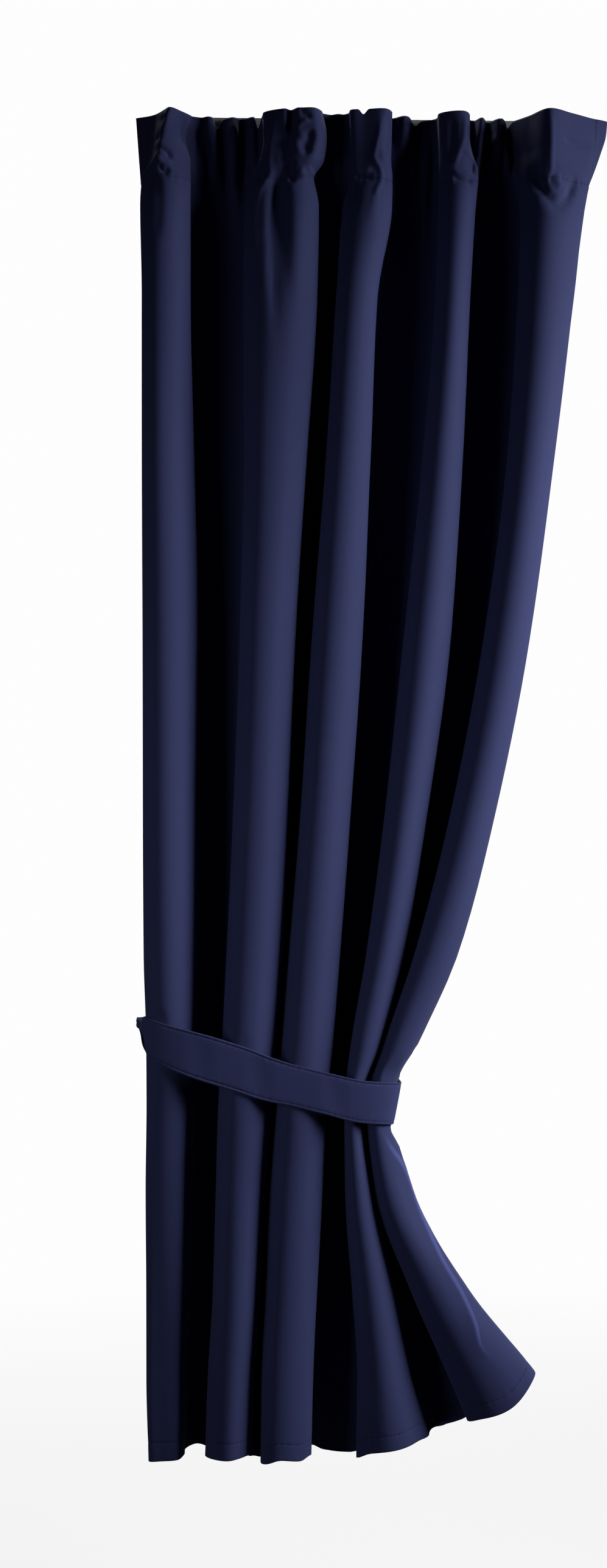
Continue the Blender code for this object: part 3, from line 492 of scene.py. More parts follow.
# The ring round the folds: where it begins and ends, in half turns from its right end, the
# points it is worked out at, and how far from its two ends its first and last rows lie.
RING_FROM, RING_TO = 0.985, -0.78
RING_POINTS = 1200
RING_FIRST_CM, RING_LAST_CM = 0.4, TIE_WIDTH_CM / 3
BACK_JOIN_CM = 0.2      # the back end's rows begin this far beyond the ring's last row
# Its sewn lines: half their width as a share of the band's, their puckers' depth, and the
# lengths and starting turns of the two waves that make the puckers.
BAND_SEAM_HALF = 0.12
BAND_PUCKER_CM = 0.022
BAND_WAVES = ((1.7, 0.0), (1.13, 2.0))
BAND_SEWN_FROM = 0.8    # it is sewn where it is wider than this share of its full width

# Sewing: length of one stitch, from one to the next, and the thread's half thickness.
STITCH_CM, STITCH_PITCH_CM, THREAD_CM = 0.25, 0.36, 0.026
THREAD_SIDES = 5
# Along one stitch, as a share of its length: how far it stands off the cloth in centimetres,
# and its thickness as a share of the thread's.
Section = namedtuple("Section", "share lift thickness")
STITCH_SECTIONS = (
    Section(-0.5, -0.03, 0.3), Section(-0.34, 0.012, 0.9), Section(0.0, 0.02, 1.0),
    Section(0.34, 0.012, 0.9), Section(0.5, -0.03, 0.3),
)
HEADING_LINE_CM = 12.3  # the heading's sewn line, down from the top edge
SIDE_HEM_CM = 2.3
# The cloth is drawn in along a sewn line: how deep, and how far to each side.
PUCKER_CM, PUCKER_HALF_CM = 0.06, 1.6
SEAM_CM, SEAM_HALF_CM = 0.07, 0.4
HEM_SHARE = 0.6         # the hem is drawn in by this share of it
# Waves of the puckers: share of their depth, length, starting turn, and how much they turn
# for each centimetre away from the line.
Wave = namedtuple("Wave", "share length turn drift")
WAVES = (Wave(0.6, 1.9, 0.4, 0.12), Wave(0.5, 1.27, 2.1, -0.18), Wave(0.35, 3.1, 4.0, 0.1))
WAVE_COLUMNS = 2.5      # a wave is drawn only where it spans more columns than this

# ---------------------------------------------------------------- curves and tables

def between(rows, column, places):
    """A table's column at any places: a smooth curve through the rows that never overshoots."""
    x = np.array([row[0] for row in rows], float)
    y = np.array([getattr(row, column) for row in rows], float)
    step = np.diff(x)
    slope = np.diff(y) / step
    tangent = np.zeros_like(y)
    for k in range(1, len(x) - 1):
        if slope[k - 1] * slope[k] > 0:
            before = 2 * step[k] + step[k - 1]
            after = step[k] + 2 * step[k - 1]
            tangent[k] = (before + after) / (before / slope[k - 1] + after / slope[k])
    tangent[0], tangent[-1] = slope[0], slope[-1]
    at = np.clip(places, x[0], x[-1])
    k = np.clip(np.searchsorted(x, at, side="right") - 1, 0, len(x) - 2)
    t = (at - x[k]) / step[k]
    return (
        y[k] * (1 + 2 * t) * (1 - t) ** 2
        + y[k + 1] * t * t * (3 - 2 * t)
        + step[k] * (tangent[k] * t * (1 - t) ** 2 - tangent[k + 1] * t * t * (1 - t))
    )


def spline(points):
    """Curves through the control points without loops, one curve for each height."""
    ends = 2 * points[:, [0, -1]] - points[:, [1, -2]]
    p = np.concatenate([ends[:, :1], points, ends[:, 1:]], axis=1)
    gaps = np.linalg.norm(np.diff(p, axis=1), axis=2) ** 0.5
    knots = np.concatenate([np.zeros((len(p), 1)), np.cumsum(gaps, axis=1)], axis=1)
    curve = []
    for k in range(1, p.shape[1] - 2):
        t0, t1, t2, t3 = (knots[:, k + n, None] for n in (-1, 0, 1, 2))
        for share in np.arange(SPLINE_STEPS) / SPLINE_STEPS:
            t = t1 + share * (t2 - t1)
            a = ((t1 - t) * p[:, k - 1] + (t - t0) * p[:, k]) / (t1 - t0)
            b = ((t2 - t) * p[:, k] + (t - t1) * p[:, k + 1]) / (t2 - t1)
            c = ((t3 - t) * p[:, k + 1] + (t - t2) * p[:, k + 2]) / (t3 - t2)
            d = ((t2 - t) * a + (t - t0) * b) / (t2 - t0)
            e = ((t3 - t) * b + (t - t1) * c) / (t3 - t1)
            curve.append(((t2 - t) * d + (t - t1) * e) / (t2 - t1))
    curve.append(points[:, -1])
    return np.stack(curve, axis=1)


def plans(drops, fold_columns):
    """The cloth seen from above at each height: (along, front) of every column."""
    hollows = [between(HOLLOWS, name, drops) for name in Hollow._fields[1:]]
    tightness = between(NECKS, "tightness", drops)
    points = []
    starts = []

    def put(along, front):
        """One more control point at every height."""
        points.append(np.stack([along, front], axis=1))

    for i, rows in enumerate(FOLDS):
        left, right, front = (between(rows, name, drops) for name in Fold._fields[1:])
        before = hollows[i - 1] if i else between(LEFT_SIDE, "edge_front", drops)
        after = hollows[i] if i < len(hollows) else between(RIGHT_SIDE, "edge_front", drops)
        starts.append(len(points))
        if i == 0:
            put(between(LEFT_SIDE, "edge", drops), before)
            put(between(LEFT_SIDE, "knee", drops), between(LEFT_SIDE, "knee_front", drops))
        else:
            put((between(FOLDS[i - 1], "right", drops) + left) / 2, before)
            neck = left + tightness * LEFT_NECK[0] * (right - left)
            put(neck, before + LEFT_NECK[1] * (front - before))
        crest = between(CROWNS[i], "crest", drops)
        top = np.ones_like(crest)
        for across, out in (
            (0 * crest, between(CROWNS[i], "left", drops)),
            (crest / 2, between(CROWNS[i], "left_half", drops)),
            (crest, top),
            ((1 + crest) / 2, between(CROWNS[i], "right_half", drops)),
            (top, between(CROWNS[i], "right", drops)),
        ):
            floor = before + (after - before) * across
            put(left + across * (right - left), floor + out * (front - floor))
        if i < len(hollows):
            tuck = between(CROWNS[i], "tuck", drops)
            neck = right - tuck * (1 - RIGHT_NECK[0]) * (right - left)
            put(neck, after + RIGHT_NECK[1] * (front - after))
    put(between(RIGHT_SIDE, "knee", drops), between(RIGHT_SIDE, "knee_front", drops))
    put(between(RIGHT_SIDE, "edge", drops), between(RIGHT_SIDE, "edge_front", drops))
    starts.append(len(points) - 1)

    curves = spline(np.stack(points, axis=1))
    found = []
    for curve in curves:
        columns = []
        for i, count in enumerate(fold_columns):
            stretch = curve[starts[i] * SPLINE_STEPS : starts[i + 1] * SPLINE_STEPS + 1]
            run = run_along(stretch)
            last = i == len(fold_columns) - 1
            wanted = np.linspace(0, run[-1], count + 1)[: count + last]
            columns.append(sampled(stretch, run, wanted))
        found.append(np.concatenate(columns))
    return np.array(found)


def run_along(points):
    """Distance along a line of points from its first one."""
    return np.concatenate([[0], np.cumsum(np.linalg.norm(np.diff(points, axis=0), axis=1))])


def sampled(points, run, places):
    """Points at any places along a line, from its points and their distances along it."""
    return np.stack([np.interp(places, run, values) for values in points.T], axis=1)


def bump(x):
    """A soft hump: 1 in the middle, 0 from 1 outwards."""
    return 0.5 + 0.5 * np.cos(math.pi * np.minimum(np.abs(x), 1.0))


def gathered(along, drop):
    """How far the small gathers and dents push the cloth out at one place."""
    out = np.zeros_like(along)
    for g in GATHERS:
        reach = np.where(drop < g.full, g.full - g.begin, g.end - g.full)
        middle = g.along + g.lean * drop / 10
        out += g.out * bump((drop - g.full) / reach) * bump((along - middle) / g.half_width)
    return out


def tie_line(column, along, front):
    """The band's centre line or width where it goes round the folds."""
    share = (front - TIE_MIDDLE_FRONT_CM + TIE_HALF_DEPTH_CM) / (2 * TIE_HALF_DEPTH_CM)
    share = np.clip(share, 0.0, 1.0)
    before = between(TIE_FRONT_LINE, column, along)
    return share * before + (1 - share) * between(TIE_BACK_LINE, column, along)


def tie_drop(along, front):
    """Drop of the band's centre line where it goes round the folds."""
    return tie_line("drop", along, front)


def lean(below):
    """How far in the band's right end is drawn, below its centre line by so much."""
    return TIE_LEAN_CM * np.clip(below / TIE_WIDTH_CM + 0.5, 0.0, TIE_LEAN_MOST)


def held(along, front, drop):
    """Draws points of the cloth inside the band where the band crosses them."""
    inner = 3 * GAP_CM + (TIE_CM + CLOTH_CM) / 2
    across, out = along - TIE_MIDDLE_CM, front - TIE_MIDDLE_FRONT_CM
    y = np.abs(out / (TIE_HALF_DEPTH_CM - inner)) ** TIE_SQUARENESS
    half = TIE_HALF_LENGTH_CM - inner
    for _ in range(2):
        x = np.abs(across / half) ** TIE_SQUARENESS
        reach = np.maximum((x + y) ** (1 / TIE_SQUARENESS), 1e-6)
        tight = np.minimum(1.0, 1 / reach)
        line = tie_drop(TIE_MIDDLE_CM + across * tight, TIE_MIDDLE_FRONT_CM + out * tight)
        half = TIE_HALF_LENGTH_CM - inner - (across > 0) * lean(drop - line)
    away = np.maximum(0.0, np.abs(drop - line) - TIE_SPAN_CM / 2)
    scale = np.minimum(1.0, (1 + TIE_EASE * (away / 10) ** 1.2) / reach)
    return TIE_MIDDLE_CM + across * scale, TIE_MIDDLE_FRONT_CM + out * scale


# ---------------------------------------------------------------- the hung cloth

def cloth_lengths():
    """Lengths of cloth from the top edge at which the rows lie."""
    ends = [s.length for s in SPACINGS[1:]] + [DROP_CM]
    lengths = []
    for spacing, end in zip(SPACINGS, ends):
        count = max(1, round((end - spacing.length) / spacing.step))
        lengths += list(np.linspace(spacing.length, end, count, endpoint=False))
    return np.array(lengths + [DROP_CM])


def hung_cloth(lengths, fold_columns):
    """Points of the hung panel in centimetres: a row for each length of cloth."""
    drops = np.linspace(TOP_EDGE_CM, LOWEST_CM, HEIGHTS)
    found = plans(drops, fold_columns)
    along, front = found[:, :, 0], found[:, :, 1]
    drop = np.repeat(drops[:, None], along.shape[1], axis=1)
    front = np.maximum(front + gathered(along, drop), between(SEATS, "front", drop))
    along, front = held(along, front, drop)
    columns = np.stack([along, -front, -drop], axis=2)
    steps = np.linalg.norm(np.diff(columns, axis=0), axis=2)
    run = np.vstack([np.zeros(steps.shape[1]), np.cumsum(steps, axis=0)])
    above = drop - tie_drop(along, front)
    pull = between(PULLS, "share", lengths)
    points = np.empty((len(lengths), columns.shape[1], 3))
    hems = np.array([np.interp(DROP_CM, run[:, c], drop[:, c]) for c in range(run.shape[1])])
    share = bump(np.arange(-HEM_EVEN, HEM_EVEN + 1) / (HEM_EVEN + 1))
    even = np.convolve(np.pad(hems, HEM_EVEN, mode="edge"), share / share.sum(), "valid") - hems
    for c in range(columns.shape[1]):
        hang = sum(s.depth * float(bump((along[0, c] - s.along) / s.half_width)) for s in SAGS)
        crossing = np.interp(0.0, above[:, c], run[:, c])
        places = lengths + hang * np.maximum(0.0, 1 - lengths / HEADING_CM)
        places = places + pull * (crossing - TIE_ROW_CM)
        ease = np.clip((lengths - DROP_CM) / HEM_EASE_CM + 1, 0.0, 1.0) ** 2
        extra = between(HEMS, "extra", np.interp(DROP_CM, run[:, c], along[:, c]))
        places = places + ease * (extra + even[c])
        for axis in range(3):
            points[:, c, axis] = np.interp(places, run[:, c], columns[:, c, axis])
    return points


def smooth_path(path):
    """A path's points with a smooth curve drawn through them."""
    return spline(np.array([path], float))[0][:: SPLINE_STEPS // PATH_STEPS]


def stroked(points):
    """How far the creases push each point of the cloth out of its face."""
    along, front, drop = points[..., 0], -points[..., 1], -points[..., 2]
    facing = np.clip(-STROKE_FACING * outward(points)[..., 1], 0.0, 1.0)
    out = np.zeros_like(along)
    for stroke in STROKES:
        path = smooth_path(stroke.path)
        reach = stroke.half_width
        low, high = path.min(axis=0) - reach, path.max(axis=0) + reach
        near = (along > low[0]) & (along < high[0]) & (drop > low[1]) & (drop < high[1])
        near &= (front < HOLLOW_FRONT_CM) if stroke.deep else (front > CREST_FRONT_CM)
        if not near.any():
            continue
        place = np.stack([along[near], drop[near]], axis=1)
        run = run_along(path)
        best = np.full(len(place), 1e9)
        where = np.zeros(len(place))
        for k in range(len(path) - 1):
            step = path[k + 1] - path[k]
            share = np.clip((place - path[k]) @ step / (step @ step), 0.0, 1.0)
            away = np.linalg.norm(place - path[k] - share[:, None] * step, axis=1)
            closer = away < best
            best[closer] = away[closer]
            where[closer] = (run[k] + share * (run[k + 1] - run[k]))[closer]
        x = np.minimum(best / reach, 1.0)
        profile = (1 - stroke.sharp) * bump(x) + stroke.sharp * (1 - x) ** 2
        ends = np.minimum(where, run[-1] - where) / (STROKE_END * run[-1])
        out[near] += stroke.out * profile * (1 - bump(np.minimum(ends, 1.0))) * facing[near]
    return out


def outward(points):
    """Directions square to the cloth, out of its face."""
    across = np.gradient(points, axis=1)
    down = np.gradient(points, axis=0)
    square = np.cross(down, across)
    return square / np.maximum(np.linalg.norm(square, axis=2, keepdims=True), 1e-9)


def sewn(lengths, places, columns_apart):
    """How far the cloth is drawn in along its heading line and hem line, with small puckers."""
    out = np.zeros((len(lengths), len(places)))
    for line, share in ((HEADING_LINE_CM, 1.0), (DROP_CM - HEM_CM, HEM_SHARE)):
        away = lengths - line
        groove = SEAM_CM * bump(away / SEAM_HALF_CM)
        ripple = sum(
            w.share * np.sin(2 * math.pi * places / w.length + w.turn + away[:, None] * w.drift)
            for w in WAVES if w.length > WAVE_COLUMNS * columns_apart
        )
        reach = bump(away / PUCKER_HALF_CM)[:, None]
        out += share * (PUCKER_CM * reach * ripple - groove[:, None])
    return out


def creased(points, lengths):
    """The hung cloth with its creases and sewn lines, still clear of the rail."""
    places = run_along(points[0])
    out = stroked(points) + sewn(lengths, places, np.diff(places).mean())
    points = points + outward(points) * out[..., None]
    seat = between(SEATS, "front", -points[..., 2])
    points[..., 1] = np.minimum(points[..., 1], -seat)
    return points


def painted_crease_marks(points):
    """Distance to the last fold's long crease, below zero on one side, and how near it is, which
    masks its painted highlight.
    """
    path = smooth_path(LONG_CREASE)
    place = np.stack([points[..., 0], -points[..., 2]], axis=-1)
    best = np.full(place.shape[:-1], FAR_CM)
    for start, end in zip(path, path[1:]):
        step = end - start
        share = np.clip(((place - start) @ step) / (step @ step), 0.0, 1.0)
        to = place - start - share[..., None] * step
        away = np.linalg.norm(to, axis=-1)
        side = np.sign(to[..., 1] * step[0] - to[..., 0] * step[1])
        best = np.where(away < np.abs(best), side * np.maximum(away, NEVER_ZERO_CM), best)
    low, high = path[0, 1], path[-1, 1]
    fade = np.clip(np.minimum(place[..., 1] - low, high - place[..., 1]) / CREASE_FADE_CM, 0, 1)
    near = bump(best / CREASE_REACH_CM) * (1 - bump(fade)) * (-points[..., 1] > CREASE_FRONT_CM)
    return best, near


# ---------------------------------------------------------------- the band

def band_end(ends, across):
    """One of the band's narrowing ends: a row for each step along it."""
    rows = smooth_path(ends)
    centres = rows[:, :3] * (1, -1, -1)
    lift = rows[:, 3:] * across
    return centres[:, None] + lift[..., None] * (0, 0, 1), rows[:, 3]


def band_ring(across):
    """The band round the folds, from its front end's neck to behind the folds."""
    turns = np.linspace(math.pi * RING_FROM, math.pi * RING_TO, RING_POINTS)
    parts = np.stack([np.cos(turns), np.sin(turns)], axis=1)
    parts = np.sign(parts) * np.abs(parts) ** (2 / TIE_SQUARENESS)
    ring = parts * (TIE_HALF_LENGTH_CM, TIE_HALF_DEPTH_CM) + (TIE_MIDDLE_CM, TIE_MIDDLE_FRONT_CM)
    run = run_along(ring)
    drops = tie_drop(ring[:, 0], ring[:, 1])
    places = np.linspace(RING_FIRST_CM, run[-1] - RING_LAST_CM, BAND_ROWS)
    widths = np.interp(places, run, tie_line("width", ring[:, 0], ring[:, 1]))
    slope = np.minimum(np.interp(places, run, np.gradient(drops, run)), TIE_SLOPE_MOST)
    ends = np.minimum(places, places[-1] - places) / TIE_WIDTH_CM
    tilt = (np.arctan(slope) * np.minimum(1.0, ends))[:, None]
    middles = np.interp(places, run, drops)
    neck, grown = TIE_FRONT_END[-1], bump(1 - np.minimum(1.0, places / NECK_RUN_CM))
    widths = neck.width + (widths - neck.width) * grown
    middles = neck.drop + (middles - neck.drop) * grown
    up = widths[:, None] * across
    at = places[:, None] + up * np.sin(tilt)
    rise = up * np.cos(tilt)
    along = np.interp(at, run, ring[:, 0])
    share = np.maximum(0.0, (along - TIE_MIDDLE_CM) / TIE_HALF_LENGTH_CM) ** 4
    along = along - share * lean(-rise)
    front = np.interp(at, run, ring[:, 1])
    drop = middles[:, None] - rise
    return np.stack([along, -front, -drop], axis=2), widths


def band_faces():
    """Outer and inner face of the band: rows along it, columns from lower to upper edge."""
    inward = np.array([swell.inward for swell in BAND_FACE])
    swell = np.array([swell.out for swell in BAND_FACE])
    half = inward / TIE_WIDTH_CM
    across = np.concatenate([half - 0.5, (0.5 - half)[-2::-1]])
    out = np.concatenate([swell, swell[-2::-1]])
    front, front_width = band_end(TIE_FRONT_END, across)
    ring, ring_width = band_ring(across)
    back, back_width = band_end(TIE_BACK_END, across)
    on = int(np.argmax(back[:, 0, 0] < ring[-1, :, 0].min() - BACK_JOIN_CM))
    middle = np.concatenate([front[:-1], ring, back[on:]])
    width = np.concatenate([front_width[:-1], ring_width, back_width[on:]])
    square = outward(middle)
    run = run_along(middle[:, len(across) // 2])
    before = middle[..., 1] < -TIE_MIDDLE_FRONT_CM
    sags = [bump((middle[..., 0] - place) / BAND_SAG_HALF_CM) for place in BAND_SAGS]
    give = sum(BAND_SAG_CM * sag for sag in sags) * before * (1 - (2 * across) ** 2)
    grown = (width - PLEAT_FULL_CM) / (PLEAT_FROM_CM - PLEAT_FULL_CM)
    drawn = bump(np.clip(grown, 0, 1))[:, None]
    rounded = NECK_HALF_CM * np.sqrt(1 - (2 * across) ** 4)
    out = out + (rounded - out) * drawn
    tips = np.minimum(run, run[-1] - run) / TIP_CM
    drawn = drawn * np.minimum(1.0, tips)[:, None]
    out = out * np.sqrt(np.minimum(1.0, TIP_BLUNT + tips))[:, None]
    pleat = drawn * PLEAT_CM * (1 - np.cos(2 * math.pi * PLEATS * across))
    pleat = pleat * (1 - (2 * across) ** 4)
    seam = bump((abs(across) - 0.5 + BAND_STITCH_CM / TIE_WIDTH_CM) / BAND_SEAM_HALF)
    waves = [np.sin(run * 2 * math.pi / length + turn) for length, turn in BAND_WAVES]
    pucker = BAND_PUCKER_CM * (sum(waves) / len(waves))[:, None] * seam
    outer = middle + square * (out + pleat + pucker - give)[..., None]
    inner = middle - square * (np.minimum(out, TIE_CM / 2) + give)[..., None]
    return outer, inner, run, across * width[:, None]


# ---------------------------------------------------------------- pieces

def shown(name, data):
    """An object of the scene."""
    made = bpy.data.objects.new(name, data)
    bpy.context.scene.collection.objects.link(made)
    return made


def piece(name, mesh):
    """A piece of the part, hung from its root body."""
    made = shown(name, mesh)
    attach(made, "root")
    return made


def built_mesh(name, build):
    """A smooth mesh of what was built."""
    mesh = bpy.data.meshes.new(name)
    build.to_mesh(mesh)
    build.free()
    mesh.shade_smooth()
    return mesh


def map_cloth(mesh, across, down):
    """The map of cloth coordinates in metres, from one value of each for every vertex."""
    layer = mesh.uv_layers.new(name="cloth")
    corners = np.empty(len(mesh.loops), int)
    mesh.loops.foreach_get("vertex_index", corners)
    flat = np.stack([across[corners], down[corners]], axis=1) * CM
    layer.uv.foreach_set("vector", flat.astype(np.float32).ravel())


def built_grid(build, points):
    """Vertices of a grid of points, with faces between them."""
    grid = [[build.verts.new(point) for point in row] for row in points * CM]
    for above, below in zip(grid, grid[1:]):
        for k in range(len(above) - 1):
            build.faces.new((above[k], below[k], below[k + 1], above[k + 1]))
    return grid


def panel_mesh(name, upper, lower):
    """A mesh of two grids: the heading's, and below it one with half as many columns."""
    build = bmesh.new()
    seam = built_grid(build, upper)[-1]
    first = built_grid(build, lower)[0]
    for k in range(len(first) - 1):
        build.faces.new((seam[2 * k], first[k], seam[2 * k + 1]))
        build.faces.new((seam[2 * k + 1], first[k], first[k + 1]))
        build.faces.new((seam[2 * k + 1], first[k + 1], seam[2 * k + 2]))
    return built_mesh(name, build)


def make_drape():
    """The panel, its heading's and its lower grid of points, their lengths and its columns."""
    lengths = cloth_lengths()
    split = int(np.searchsorted(lengths, SPACINGS[1].length, side="right"))
    upper, lower = lengths[:split], lengths[split:]
    fine = creased(hung_cloth(upper, [2 * count for count in FOLD_COLUMNS]), upper)
    plain = creased(hung_cloth(lower, FOLD_COLUMNS), lower)
    mesh = panel_mesh("velvet drape", fine, plain)
    places = run_along(fine[-1]) * PANEL_CM / run_along(fine[-1])[-1]
    across = np.concatenate([np.tile(places, len(upper)), np.tile(places[::2], len(lower))])
    down = np.concatenate([np.repeat(upper, fine.shape[1]), np.repeat(lower, plain.shape[1])])
    map_cloth(mesh, across, -down)
    marks = zip(*(painted_crease_marks(part) for part in (fine, plain)))
    for name, parts in zip(("crease_away", "crease_painted_highlight"), marks):
        values = np.concatenate([part.ravel() for part in parts]).astype(np.float32)
        mesh.attributes.new(name, "FLOAT", "POINT").data.foreach_set("value", values)
    drape = piece("velvet_drape", mesh)
    solidify = drape.modifiers.new("thickness", "SOLIDIFY")
    solidify.thickness = CLOTH_CM * CM
    solidify.offset = 0
    solidify.material_offset = 1
    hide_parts("drape")
    return drape, fine, plain, lengths, places


def make_band():
    """The band, and the points of its outer and inner face."""
    outer, inner, run, across = band_faces()
    loop = np.concatenate([outer, inner[:, -2:0:-1]], axis=1)
    flat = np.concatenate([across, across[:, -2:0:-1]], axis=1)
    columns = loop.shape[1]
    build = bmesh.new()
    verts = [[build.verts.new(point) for point in row] for row in loop * CM]
    for start, end in zip(verts, verts[1:]):
        for k in range(columns):
            n = (k + 1) % columns
            build.faces.new((start[k], end[k], end[n], start[n]))
    build.faces.new(verts[0])
    build.faces.new(verts[-1][::-1])
    mesh = built_mesh("velvet band", build)
    map_cloth(mesh, np.repeat(run, columns), flat.ravel())
    band = piece("velvet_tieback", mesh)
    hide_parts("tieback")
    return band, outer, inner


def sewn_line(points, square, lift):
    """Middles, lengths and outward directions of the stitches along a line."""
    run = run_along(points)
    at = np.arange(STITCH_PITCH_CM, run[-1] - STITCH_PITCH_CM, STITCH_PITCH_CM)
    start, end = (sampled(points, run, at + part * STITCH_CM / 2) for part in (-1, 1))
    out = sampled(square, run, at)
    return sampled(points, run, at) + out * lift, end - start, out


def make_stitches(name, lines):
    """Sewing thread: one small rounded stitch after another along each line."""
    middle, way, out = (np.concatenate(part) for part in zip(*lines))
    side = np.cross(way, out)
    side /= np.linalg.norm(side, axis=1, keepdims=True)
    verts = []
    for section in STITCH_SECTIONS:
        centre = middle + way * section.share + out * section.lift
        for turn in np.arange(THREAD_SIDES) * 2 * math.pi / THREAD_SIDES:
            square = side * math.cos(turn) + out * math.sin(turn)
            verts.append(centre + square * THREAD_CM * section.thickness)
    points = np.stack(verts, axis=1).reshape(-1, 3)
    per = len(verts)
    corners = [(k, (k + 1) % THREAD_SIDES) for k in range(THREAD_SIDES)]
    quads = [
        (ring + k, ring + n, ring + THREAD_SIDES + n, ring + THREAD_SIDES + k)
        for ring in range(0, per - THREAD_SIDES, THREAD_SIDES) for k, n in corners
    ]
    caps = [tuple(range(THREAD_SIDES))[::-1], tuple(range(per - THREAD_SIDES, per))]
    faces = [
        tuple(stitch * per + corner for corner in face)
        for stitch in range(len(middle)) for face in quads + caps
    ]
    mesh = bpy.data.meshes.new(name)
    mesh.from_pydata((points * CM).tolist(), [], faces)
    mesh.update()
    mesh.shade_smooth()
    return piece(name.replace(" ", "_"), mesh)


def crossed(grid, at, place):
    """The line of points in which one place down a grid crosses its columns."""
    return np.array([
        [np.interp(place, at, values) for values in column.T] for column in grid.swapaxes(0, 1)
    ])


def drape_lines(fine, plain, lengths, places):
    """The sewn lines of the heading, the hem and the two side hems, on both faces."""
    upper, lower = lengths[: len(fine)], lengths[len(fine) :]
    above, below = (fine, outward(fine)), (plain, outward(plain))
    runs = [
        ("heading stitches", [crossed(grid, upper, HEADING_LINE_CM) for grid in above]),
        ("hem stitches", [crossed(grid, lower, DROP_CM - HEM_CM) for grid in below]),
    ]
    for place in (SIDE_HEM_CM, PANEL_CM - SIDE_HEM_CM):
        runs.append(("hem stitches", [
            np.concatenate([
                crossed(top.swapaxes(0, 1), places, place),
                crossed(rest.swapaxes(0, 1), places[::2], place),
            ])
            for top, rest in zip(above, below)
        ]))
    lines = {name: [] for name, _ in runs}
    for sign in (1, -1):
        for name, (points, square) in runs:
            lines[name].append(sewn_line(points, square * sign, CLOTH_CM / 2))
    return lines


def band_lines(outer, inner):
    """The band's two sewn lines on each face, each between two columns of its points."""
    found = []
    last = sum(swell.inward < BAND_STITCH_CM for swell in BAND_FACE) - 1
    square = outward(outer)
    wide = np.linalg.norm(outer[:, 0] - outer[:, -1], axis=1) > TIE_WIDTH_CM * BAND_SEWN_FROM
    for column, next_in in ((last, last + 1), (-last - 1, -last - 2)):
        for face, sign in ((outer, 1), (inner, -1)):
            middle = (face[:, column] + face[:, next_in]) / 2
            found.append(sewn_line(middle[wide], square[wide, column] * sign, 0.0))
    return found


def make_rail():
    """A slim bar with a shadow groove along its front and softly broken edges."""
    half, height = RAIL_DEPTH_CM / 2, RAIL_HEIGHT_CM
    top, bottom = RAIL_GROOVE_TOP_CM, RAIL_GROOVE_TOP_CM + RAIL_GROOVE_HEIGHT_CM
    groove = half - RAIL_GROOVE_DEPTH_CM
    outline = (
        (-half, 0), (half, 0), (half, -top), (groove, -top),
        (groove, -bottom), (half, -bottom), (half, -height), (-half, -height),
    )
    build = bmesh.new()
    ends = [
        [build.verts.new((along * CM, -front * CM, up * CM)) for front, up in outline]
        for along in (-RAIL_LENGTH_CM / 2, RAIL_LENGTH_CM / 2)
    ]
    build.faces.new(ends[0])
    build.faces.new(ends[1][::-1])
    for k in range(len(outline)):
        n = (k + 1) % len(outline)
        build.faces.new((ends[0][k], ends[1][k], ends[1][n], ends[0][n]))
    bmesh.ops.recalc_face_normals(build, faces=build.faces)
    rail = piece("rail_bar", built_mesh("rail bar", build))
    bevel = rail.modifiers.new("broken edges", "BEVEL")
    bevel.width = RAIL_EDGE_CM * CM
    bevel.segments = RAIL_EDGE_STEPS
    smooth = rail.modifiers.new("flat faces", "WEIGHTED_NORMAL")
    smooth.keep_sharp = True
    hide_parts("rail")
    return rail


# ---------------------------------------------------------------- finishes

def add(tree, kind, into=None, **settings):
    """A node with its settings, and a value or a link for each input named."""
    made = tree.nodes.new(kind)
    for name, value in settings.items():
        setattr(made, name, value)
    for name, value in (into or {}).items():
        if isinstance(value, bpy.types.NodeSocket):
            tree.links.new(value, made.inputs[name])
        else:
            made.inputs[name].default_value = value
    return made


def maths(tree, operation, *values):
    """One step of arithmetic on values or links."""
    return add(tree, "ShaderNodeMath", dict(enumerate(values)), operation=operation).outputs[0]


def noise(tree, place, scale, detail=2.0, roughness=0.5):
    """Smooth noise from 0 to 1."""
    into = {"Vector": place, "Scale": scale, "Detail": detail, "Roughness": roughness}
    return add(tree, "ShaderNodeTexNoise", into).outputs["Fac"]


def swing(tree, value):
    """A noise's value either side of its middle, from -0.5 to 0.5."""
    return maths(tree, "SUBTRACT", value, 0.5)


def stretched(tree, place, scales):
    """A place with each of its three parts scaled."""
    return add(tree, "ShaderNodeVectorMath", {0: place, 1: scales}, operation="MULTIPLY").outputs[0]


def ranged(tree, value, low, high, to_low=0.0, to_high=1.0, kind="SMOOTHSTEP"):
    """A value between low and high turned into one between two others, and held at its ends."""
    into = {"Value": value, "From Min": low, "From Max": high, "To Min": to_low, "To Max": to_high}
    return add(tree, "ShaderNodeMapRange", into, interpolation_type=kind).outputs["Result"]


def mixed(tree, share, first, second):
    """One shader at share 0, the other at share 1."""
    into = {"Fac": share, 1: first, 2: second}
    return add(tree, "ShaderNodeMixShader", into).outputs["Shader"]


def by_sight(tree, hidden, seen):
    """One shader for light on its way round the studio, another for what the camera sees."""
    path = add(tree, "ShaderNodeLightPath")
    return mixed(tree, path.outputs["Is Camera Ray"], hidden, seen)


def new_group(name, inputs, outputs):
    """An empty node group with its sockets: the tree, its inputs' sockets and its output node."""
    tree = bpy.data.node_groups.new(name, "ShaderNodeTree")
    for socket, kind, value in inputs:
        made = tree.interface.new_socket(socket, in_out="INPUT", socket_type="NodeSocket" + kind)
        if value is not None:
            made.default_value = value
    for socket in outputs:
        tree.interface.new_socket(socket, in_out="OUTPUT", socket_type="NodeSocketFloat")
    return tree, tree.nodes.new("NodeGroupInput").outputs, tree.nodes.new("NodeGroupOutput").inputs


